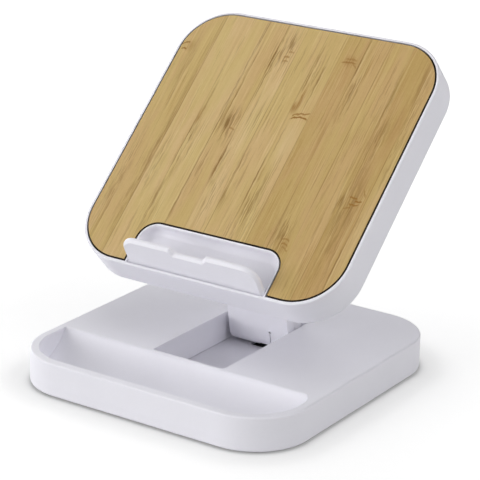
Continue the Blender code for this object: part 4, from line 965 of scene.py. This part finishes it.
def hollow_arm(shell, side):
    """Cut the spaces between the ribs, the pin holes, and the screw holes with their seats at the back."""
    half = ARM_WIDTH / 2
    reach = ARM_ROOT_RADIUS + OVER
    heights = [ARM_LENGTH * share for share in ARM_SCREW_SHARES]
    starts = [ARM_ROOT_RADIUS + ARM_WALL + KNUCKLE_GAP] + [z + ARM_RIB / 2 for z in heights]
    ends = [z - ARM_RIB / 2 for z in heights] + [ARM_LENGTH - HEAD_KNUCKLE_RADIUS - KNUCKLE_GAP - ARM_WALL]
    low, high = sorted((0, side * (ARM_TOP_RADIUS - ARM_WALL)))
    for start, end in zip(starts, ends):
        cut(shell, block, (-half + ARM_WALL, low, start), (half - ARM_WALL, high, end))
    for z in (0, ARM_LENGTH):
        cut(shell, disc_x, 0, z, PIN_RADIUS + FIT, -half + ARM_CAP, half - ARM_CAP, 24)
    seat = ARM_TOP_RADIUS - ARM_SCREW_SINK - SCREW_HEAD_HEIGHT - FIT
    for z in heights:
        cut(shell, disc_y, 0, z, SCREW_RADIUS + FIT, seat - ARM_SCREW_LENGTH - FIT, reach, 24)
        if side > 0:
            cut(shell, disc_y, 0, z, SCREW_HEAD + FIT, seat, reach, 32)


def arm_shell(name, side, node):
    """One half of the arm: side -1 is its front, side 1 its back."""
    half = ARM_WIDTH / 2
    reach = ARM_ROOT_RADIUS + OVER
    shell = raw(name, side_profile, arm_outline(), -half, half)
    low, high = sorted((-side * reach, side * FIT / 2))
    cut(shell, block, (-half - OVER, low, -reach), (half + OVER, high, ARM_LENGTH + reach))
    cut(shell, disc_x, 0, 0, ARM_ROOT_RADIUS - ARM_SKIN, FORK_LEFT, FORK_RIGHT)
    cut(shell, disc_x, 0, ARM_LENGTH, HEAD_KNUCKLE_RADIUS + KNUCKLE_GAP, -TOP_FORK, TOP_FORK)
    cut(shell, block, (FORK_LEFT - FOOT_NOTCH, -reach, -reach), (FORK_RIGHT, reach, -SKIN_DROP))
    if side < 0:
        cut(shell, block, (FORK_RIGHT - SLIT_WIDTH, -reach, -reach), (FORK_RIGHT, 0, SLIT_RISE))
        cut(shell, disc_y, FORK_RIGHT - SLIT_WIDTH / 2, SLIT_RISE, SLIT_END, -reach, -SLIT_END, 16)
    else:
        neck_low = ARM_LENGTH - NECK / 2 - KNUCKLE_GAP / 2
        cut(shell, block, (-TOP_FORK, 0, neck_low), (TOP_FORK, reach, ARM_LENGTH + reach))
    hollow_arm(shell, side)
    soften(shell, 0.00018, 2)
    place(shell, ARM_FRAME, "arm", "white_plastic", [WHITE], node)


# Head

def bay(bm):
    """The lip's bay, with a round run-out between its walls and its floor and a flare at its mouth."""
    foot = BAY_BOTTOM + LIP_GAP - LIP_FRONT_GAP
    rings = []
    for inset, up in quarter(BAY_RUN_OUT, 8):
        outline = foot_tab(BAY_WIDTH - 2 * inset * 0.6, BAY_TOP - inset, BAY_RADIUS - inset * 0.3, foot)
        rings.append(level(outline, BAY_FLOOR_Z + up))
    stretch = (BAY_ROUND + FIT / 5) / BAY_ROUND
    for down, outward in quarter(BAY_ROUND, 6):
        outline = foot_tab(BAY_WIDTH + 2 * outward, BAY_TOP + outward, BAY_RADIUS + outward, foot)
        rings.append(level(outline, FACE_Z - BAY_ROUND + (BAY_ROUND - down) * stretch))
    rings.append(level(outline, FACE_Z + OVER))
    loft(bm, rings)


def port_outline(width, height):
    radius = height / 2
    reach = width / 2 - radius
    points = arc(reach, PORT_Z, radius, -math.pi / 2, math.pi / 2, 14)
    points += arc(-reach, PORT_Z, radius, math.pi / 2, 3 * math.pi / 2, 14)
    return points


def head_shell():
    """White casing: thin rim, pocket for the panel with its floor darkened as painted shade, bay for the lip,
    port opening and screw bosses.
    """
    edges = (HEAD_EDGE, HEAD_EDGE)
    shell = raw("head_shell", soft_block, HEAD_SIDE, HEAD_RADIUS, *edges, BACK_Z, FACE_Z, CENTRE_Y)
    cut(shell, plate, square(HEAD_SIDE, HEAD_RADIUS, HEAD_WALL, CENTRE_Y), BACK_Z - OVER, WEB_BOTTOM)
    pocket = raw("pocket", plate, square(HEAD_SIDE, HEAD_RADIUS, RIM, CENTRE_Y), POCKET_FLOOR, FACE_Z + OVER)
    island = foot_tab(CUTOUT_WIDTH - 2 * SEAM, FOOT_Y + CUTOUT_HEIGHT - SEAM, CUTOUT_RADIUS - SEAM, FOOT_Y)
    cut(pocket, plate, island, POCKET_FLOOR - OVER, FACE_Z + 2 * OVER)
    cut(shell, pocket)
    tub = foot_tab(BAY_WIDTH + 2 * BAY_SIDE_WALL, BAY_TOP + BAY_SIDE_WALL, BAY_RADIUS + BAY_SIDE_WALL,
                   FOOT_Y + HEAD_WALL / 2)
    join(shell, plate, tub, BAY_FLOOR_Z - BAY_FLOOR, POCKET_FLOOR - HEAD_WEB / 2)
    cut(shell, bay)
    reach = BAY_WIDTH / 2 + LIP_PIN_HOLD + FIT
    cut(shell, disc_x, LIP_Y, LIP_Z, LIP_PIN_RADIUS + FIT, -reach, reach, 20)
    opening = port_outline(PORT_WIDTH + 2 * FIT, PORT_HEIGHT + 2 * FIT)
    cut(shell, front_profile, opening, CREST_Y - HEAD_WALL - OVER, CREST_Y + OVER)
    for spot in HEAD_HOLES:
        join(shell, posts, [spot], SCREW_BOSS, COVER_TOP_Z + FIT, POCKET_FLOOR - HEAD_WEB / 2, 24)
        cut(shell, posts, [spot], SCREW_RADIUS + FIT, BACK_Z, BACK_Z + SCREW_HOLE_DEPTH, 16)
    soften(shell, 0.00022)
    # The pocket floor, seen through the seam round the panel, takes the dark burnt finish: painted shade in
    # the seam.
    for face in shell.data.polygons:
        if face.normal.z > 0.9 and abs(face.center.z - POCKET_FLOOR) < FIT / 2:
            face.material_index = 1
    shell.data.transform(HEAD_FRAME)
    place(shell, BASE_FRAME, "head", "white_plastic", [WHITE, BURNT_AND_SEAM_SHADE], "head_front_frame")


def panel_cutout(bm, levels):
    """The panel's opening round the lip bay, widened by an offset at each level."""
    foot = -HEAD_SIDE / 2
    rings = []
    for z, outward in levels:
        top = foot + CUTOUT_HEIGHT + outward
        outline = foot_tab(CUTOUT_WIDTH + 2 * outward, top, CUTOUT_RADIUS + outward, foot - OVER)
        rings.append(level(outline, z))
    loft(bm, rings)


def split_strips(face):
    """Split the panel along its glue lines and map it: the strip's number, plus the share across it."""
    bm = bmesh.new()
    bm.from_mesh(face.data)
    bmesh.ops.remove_doubles(bm, verts=bm.verts, dist=1e-6)
    for x in STRIP_EDGES[1:-1]:
        parts = bm.verts[:] + bm.edges[:] + bm.faces[:]
        bmesh.ops.bisect_plane(bm, geom=parts, plane_co=(x, 0, 0), plane_no=(1, 0, 0), dist=1e-7)
    layer = bm.loops.layers.uv.new("strips")
    for part in bm.faces:
        x = part.calc_center_median().x
        index = max(i for i, start in enumerate(STRIP_EDGES[:-1]) if x >= start or i == 0)
        start, end = STRIP_EDGES[index], STRIP_EDGES[index + 1]
        for corner in part.loops:
            share = (corner.vert.co.x - start) / (end - start)
            corner[layer].uv = (index + min(max(share, 0.0005), 0.9995), corner.vert.co.y * 10)
        part.material_index = 0 if part.normal.z > 0.5 else 1
    bm.to_mesh(face.data)
    bm.free()


def bamboo_face():
    """The panel of glued strips, with browned sides."""
    inset = RIM + SEAM
    bottom = -BAMBOO - PROUD
    edge = [(-PANEL_EDGE, 0), (-PANEL_EDGE * 0.3, PANEL_EDGE * 0.3), (0, PANEL_EDGE)]
    face = raw("bamboo_face", stack, HEAD_SIDE - 2 * inset, HEAD_RADIUS - inset, [(bottom, 0)] + edge)
    cut(face, panel_cutout, [(bottom - OVER, 0)] + edge + [(OVER, PANEL_EDGE)])
    split_strips(face)
    smooth(face, 30)
    place(face, FACE_FRAME, "head", "bamboo", [BAMBOO_FACE, BURNT_AND_SEAM_SHADE], "bamboo_panel")


def head_cover():
    """Rear cover with its screw seats and the opening for the hinge."""
    outline = square(HEAD_SIDE, HEAD_RADIUS, HEAD_WALL + FIT, CENTRE_Y)
    cover = raw("head_back", plate, outline, BACK_Z, COVER_TOP_Z)
    low, high = BACK_Z - OVER, COVER_TOP_Z + OVER
    cut(cover, plate, rounded_box(HEAD_KNUCKLE_WIDTH + 2 * FIT, NECK + 2 * FIT, SLOT_RADIUS, 0, 6), low, high)
    for spot in HEAD_HOLES:
        cut(cover, posts, [spot], SCREW_RADIUS + FIT, low, high, 24)
        cut(cover, posts, [spot], SCREW_HEAD + FIT, low, BACK_Z + SCREW_SEAT, 40)
    soften(cover, 0.0002, 2)
    place(cover, HEAD_FRAME, "head", "white_plastic", [WHITE_UNDER], "head_rear_cover")


# Lip

def lip_outline(inset):
    """Front outline of the lip, drawn in by an inset: round ends and a shallow notch."""
    half = LIP_WIDTH / 2 - inset
    radius = LIP_RADIUS - inset
    top = LIP_LENGTH - inset
    floor = top - NOTCH_DEPTH
    wide = NOTCH_WIDTH / 2 + inset * 0.4
    narrow = NOTCH_FLOOR_WIDTH / 2 + inset * 0.4
    points = [(-half, 0), (half, 0)]
    points += arc(half - radius, top - radius, radius, 0, math.pi / 2, CORNER)
    points += slope((wide + NOTCH_SLOPE, top), (narrow, floor))
    points += slope((-narrow, floor), (-wide, top))
    points += arc(-half + radius, top - radius, radius, math.pi / 2, math.pi, CORNER)
    return points


def lip_shell():
    """The lip with its chamfered front, rounded back and hinge barrel."""
    outer = -LIP_BARREL
    inner = outer + LIP_THICKNESS
    rings = [(outer, LIP_CHAMFER), (outer + LIP_EDGE / 2, LIP_CHAMFER - LIP_EDGE),
             (outer + LIP_CHAMFER - LIP_EDGE, LIP_EDGE / 2), (outer + LIP_CHAMFER, 0)]
    rings += [(inner - short, inset) for short, inset in quarter(LIP_BACK_EDGE, 4)]
    lip = raw("lip_shell", loft, [[(x, y, z) for x, z in lip_outline(inset)] for y, inset in rings])
    half = LIP_WIDTH / 2
    join(lip, disc_x, 0, 0, LIP_BARREL, -half, half, 40)
    cut(lip, disc_x, 0, 0, LIP_PIN_RADIUS + FIT, -half - OVER, half + OVER, 20)
    soften(lip, 0.00012, 2, 40)
    place(lip, LIP_FRAME, "lip", "white_plastic", [WHITE], "phone_lip")


# Screws, port and hinge parts

def hexagon(size, steps):
    """A hexagon, given by points at even turns."""
    sixth = math.pi / 3
    points = []
    for i in range(steps):
        turn = 2 * math.pi * i / steps
        reach = size * math.cos(sixth / 2) / math.cos(turn % sixth - sixth / 2)
        points.append((reach * math.cos(turn), reach * math.sin(turn)))
    return points


def screw_shape(bm, length, steps=36):
    """Pan-head screw with a domed head, a hexagon socket and a thread."""
    rings = [level(hexagon(size, steps), z) for size, z in SCREW_SOCKET]
    profile = [*SCREW_DOME, (SCREW_HEAD, SCREW_HEAD_HEIGHT), (SCREW_RADIUS, SCREW_HEAD_HEIGHT)]
    core = SCREW_RADIUS * 0.84
    for turn in range(int((length - 0.0004) / SCREW_PITCH)):
        z = SCREW_HEAD_HEIGHT + 0.0002 + turn * SCREW_PITCH
        profile += [(core, z), (SCREW_RADIUS, z + SCREW_PITCH / 2)]
    tip = SCREW_HEAD_HEIGHT + length
    profile += [(core, tip - 0.0003), (SCREW_RADIUS * 0.7, tip)]
    loft(bm, rings + [level(circle(0, 0, radius, steps), z) for radius, z in profile])


def screw(name, node, matrix, body, length):
    piece = raw(name, screw_shape, length)
    smooth(piece)
    place(piece, matrix, body, "steel", [STEEL], node)


def screws():
    """All the screws that show: their heads lie at their frame's origin and they point along +Z."""
    for number, (x, y) in enumerate(BASE_SCREWS, start=1):
        matrix = BASE_FRAME @ Matrix.Translation((x, y, COVER_BOTTOM + SCREW_SINK))
        screw("base_screw_%d" % number, "base_cover_screw_%d" % number, matrix, "base", SCREW_LENGTH)
    for number, (x, y) in enumerate(HEAD_SCREWS, start=1):
        matrix = HEAD_FRAME @ Matrix.Translation((x, y, BACK_Z + SCREW_SINK))
        screw("head_screw_%d" % number, "head_cover_screw_%d" % number, matrix, "head", SCREW_LENGTH)
    inward = Matrix.Rotation(math.pi / 2, 4, "X")
    for number, share in enumerate(ARM_SCREW_SHARES, start=1):
        spot = (0, ARM_TOP_RADIUS - ARM_SCREW_SINK, ARM_LENGTH * share)
        matrix = ARM_FRAME @ Matrix.Translation(spot) @ inward
        screw("arm_fixing_%d" % number, "arm_screw_%d" % number, matrix, "arm", ARM_SCREW_LENGTH)


def port():
    """Metal shell of the inlet, with the tongue inside it."""
    mouth = CREST_Y - PORT_RECESS
    back = mouth - PORT_LENGTH
    shell = raw("inlet", front_profile, port_outline(PORT_WIDTH, PORT_HEIGHT), back, mouth)
    inside = port_outline(PORT_WIDTH - 2 * PORT_WALL, PORT_HEIGHT - 2 * PORT_WALL)
    cut(shell, front_profile, inside, back + PORT_BACK, mouth + OVER)
    half, thin = PORT_TONGUE_WIDTH / 2, PORT_TONGUE_THICKNESS / 2
    end = back + PORT_BACK + PORT_TONGUE_LENGTH
    join(shell, block, (-half, back + PORT_BACK / 2, PORT_Z - thin), (half, end, PORT_Z + thin))
    soften(shell, 0.0001, 2)
    place(shell, HEAD_FRAME, "head", "steel", [STEEL], "usb_port")


def knuckle():
    """Head's hinge bracket with soft edges, because it shows between the arm's ears."""
    half = HEAD_KNUCKLE_WIDTH / 2
    low = COVER_TOP_Z + 2 * FIT + SCREW_HEAD_HEIGHT
    top = low + BRACKET_THICKNESS
    bracket = raw("head_knuckle", disc_x, 0, 0, HEAD_KNUCKLE_RADIUS, -half, half)
    join(bracket, block, (-half, -NECK / 2, 0), (half, NECK / 2, top))
    join(bracket, plate, rounded_box(BRACKET_WIDTH, BRACKET_LENGTH, BRACKET_RADIUS, 0, 8), low, top)
    cut(bracket, disc_x, 0, 0, PIN_RADIUS + FIT, -TOP_FORK, TOP_FORK, 32)
    for x in (-BRACKET_SCREW_X, BRACKET_SCREW_X):
        cut(bracket, posts, [(x, 0)], SCREW_RADIUS + FIT, low - OVER, top + OVER, 24)
    soften(bracket, 0.00025, 2)
    place(bracket, HEAD_FRAME, "head", "steel", [STEEL], "head_hinge_bracket")


base_shell()
bottom_cover()
grip_pad()
arm_shell("arm_front", -1, "arm_front_shell")
arm_shell("arm_rear", 1, "arm_rear_shell")
head_shell()
bamboo_face()
head_cover()
lip_shell()
screws()
port()
knuckle()

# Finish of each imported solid: the first row whose word is in its name, or else white
FINISHES = (
    ("charging_coil", COIL), ("ferrite_sheet", FERRITE), ("charger_board", BOARD),
    ("base_hinge_bracket", STEEL_BLACK), ("ballast", STEEL_DARK), ("bracket", STEEL_DARK),
    ("pin", STEEL), ("washer", STEEL), ("screw", STEEL), ("usb_port", STEEL),
    ("anti_slip_pad", PAD), ("bamboo_panel", BAMBOO_FACE))
for name, node in frame["nodes"].items():
    node.data.materials.clear()
    node.data.materials.append(next((finish for word, finish in FINISHES if word in name), WHITE))


# Floor, light and camera

# Large lights of the studio: azimuth, 0 in front and 90 on the right, elevation and strength
SOFTBOXES = ((0, 90, 1.41), (330, 8, 5.09), (300, 8, 2.38), (240, 8, 4.37), (90, 35, 2.68), (90, 8, 0.65))
SOFTBOX_FOCUS = 14
AMBIENT = 0.08
# The floor's own glow for the camera, dimmed near the base as a painted contact shadow: distance from the
# base, and strength
GLOW_REACH = 0.14
GLOW_WITH_PAINTED_SHADOW = (
    (0.0, 0.17), (0.0006, 0.31), (0.0012, 0.39), (0.0019, 0.45), (0.0036, 0.50), (0.0070, 0.54),
    (0.0092, 0.595), (0.0127, 0.645), (0.0180, 0.67), (0.0450, 0.69), (GLOW_REACH, 0.85))
# The photo's camera: angles in degrees, place in sides of the base, focal length in pixels
CAMERA_AZIMUTH = 33.7386
CAMERA_ELEVATION = 19.2174
CAMERA_ROLL = 1.1469
CAMERA_PLACE = (6.7648, 0.03301, 0.42071)
CAMERA_FOCAL = 2112.47
IMAGE_SIDE = 480
SENSOR = 36


def toward(azimuth, elevation):
    """Direction from the object: azimuth 0 is the front and 90 the right."""
    a, e = math.radians(azimuth), math.radians(elevation)
    return Vector((math.sin(a) * math.cos(e), -math.cos(a) * math.cos(e), math.sin(e)))


def floor():
    """Paper: pale for bounced light, and darker but with its own glow where it is seen; near the base the
    glow is dimmed, a painted contact shadow.
    """
    ground = raw("floor", plate, rounded_box(6.0, 6.0, 0.5, 0, 12), -0.02, 0.0)
    n = Finish("floor_paper_with_painted_shadow")
    at = n.position()
    path = n.add("ShaderNodeLightPath").outputs
    seen = n.larger(path["Is Camera Ray"], n.larger(path["Is Glossy Ray"], path["Is Transmission Ray"]))
    grain = n.noise(at, 220, 3, 0.6)
    pale = n.mix(grain, grey(0.70), grey(0.72))
    n.set(Base_Color=n.mix(seen, pale, n.mix(grain, grey(0.45), grey(0.47))))
    n.set(Roughness=1.0, Specular_IOR_Level=0.0)
    # The glow is dimmer close to the base's outline: a painted contact shadow over the cast one.
    corner = BASE_SIDE / 2 - BASE_RADIUS
    beyond = n.vector("SUBTRACT", n.vector("ABSOLUTE", at, (0, 0, 0)), (corner, corner, 1))
    away = n.minus(n.length(n.vector("MAXIMUM", beyond, (0, 0, 0))), BASE_RADIUS)
    stops = [(distance / GLOW_REACH, grey(value)) for distance, value in GLOW_WITH_PAINTED_SHADOW]
    strength = n.ramp(n.math("DIVIDE", away, GLOW_REACH), stops)
    glow = n.add("ShaderNodeEmission")
    n.fill(glow, Color=(1, 1, 1, 1), Strength=n.times(seen, strength))
    both = n.add("ShaderNodeAddShader")
    n.wire(n.shader.outputs[0], both.inputs[0])
    n.wire(glow.outputs[0], both.inputs[1])
    n.wire(both.outputs[0], n.tree.nodes["Material Output"].inputs["Surface"])
    ground.data.materials.append(n.material)


def world():
    """A light tent: a dim white room with a few large round lights, plain white where it is seen."""
    sky = bpy.data.worlds.new("studio")
    bpy.context.scene.world = sky
    sky.use_nodes = True
    n = Nodes(sky.node_tree)
    direction = n.add("ShaderNodeTexCoord").outputs["Generated"]
    total = AMBIENT
    for azimuth, elevation, strength in SOFTBOXES:
        facing = n.add("ShaderNodeVectorMath", operation="DOT_PRODUCT")
        n.wire(direction, facing.inputs[0])
        n.wire(toward(azimuth, elevation), facing.inputs[1])
        glow = n.math("POWER", n.larger(facing.outputs["Value"], 0.0), SOFTBOX_FOCUS)
        total = n.plus(total, n.times(glow, strength))
    path = n.add("ShaderNodeLightPath").outputs
    mix = n.add("ShaderNodeMix")
    n.fill(mix, Factor=n.larger(path["Is Camera Ray"], path["Is Transmission Ray"]), A=total, B=1.0)
    n.fill(n.tree.nodes["Background"], Color=(1, 1, 1, 1), Strength=mix.outputs[0])


def camera():
    """The photo's camera."""
    back = toward(CAMERA_AZIMUTH, CAMERA_ELEVATION)
    right = (-back).cross(Vector((0, 0, 1))).normalized()
    up = right.cross(-back)
    roll = math.radians(CAMERA_ROLL)
    x = math.cos(roll) * right + math.sin(roll) * up
    y = -math.sin(roll) * right + math.cos(roll) * up
    lens = bpy.data.cameras.new("camera")
    lens.sensor_width = SENSOR
    lens.lens = CAMERA_FOCAL / IMAGE_SIDE * SENSOR
    lens.clip_start = 0.01
    lens.clip_end = 50
    thing = bpy.data.objects.new("camera", lens)
    bpy.context.scene.collection.objects.link(thing)
    matrix = Matrix((x, y, back)).transposed().to_4x4()
    distance, aside, above = CAMERA_PLACE
    matrix.translation = BASE_SIDE * (distance * back + aside * right + above * up)
    thing.matrix_world = matrix
    bpy.context.scene.camera = thing


floor()
world()
camera()
bpy.context.scene.view_settings.view_transform = "Standard"
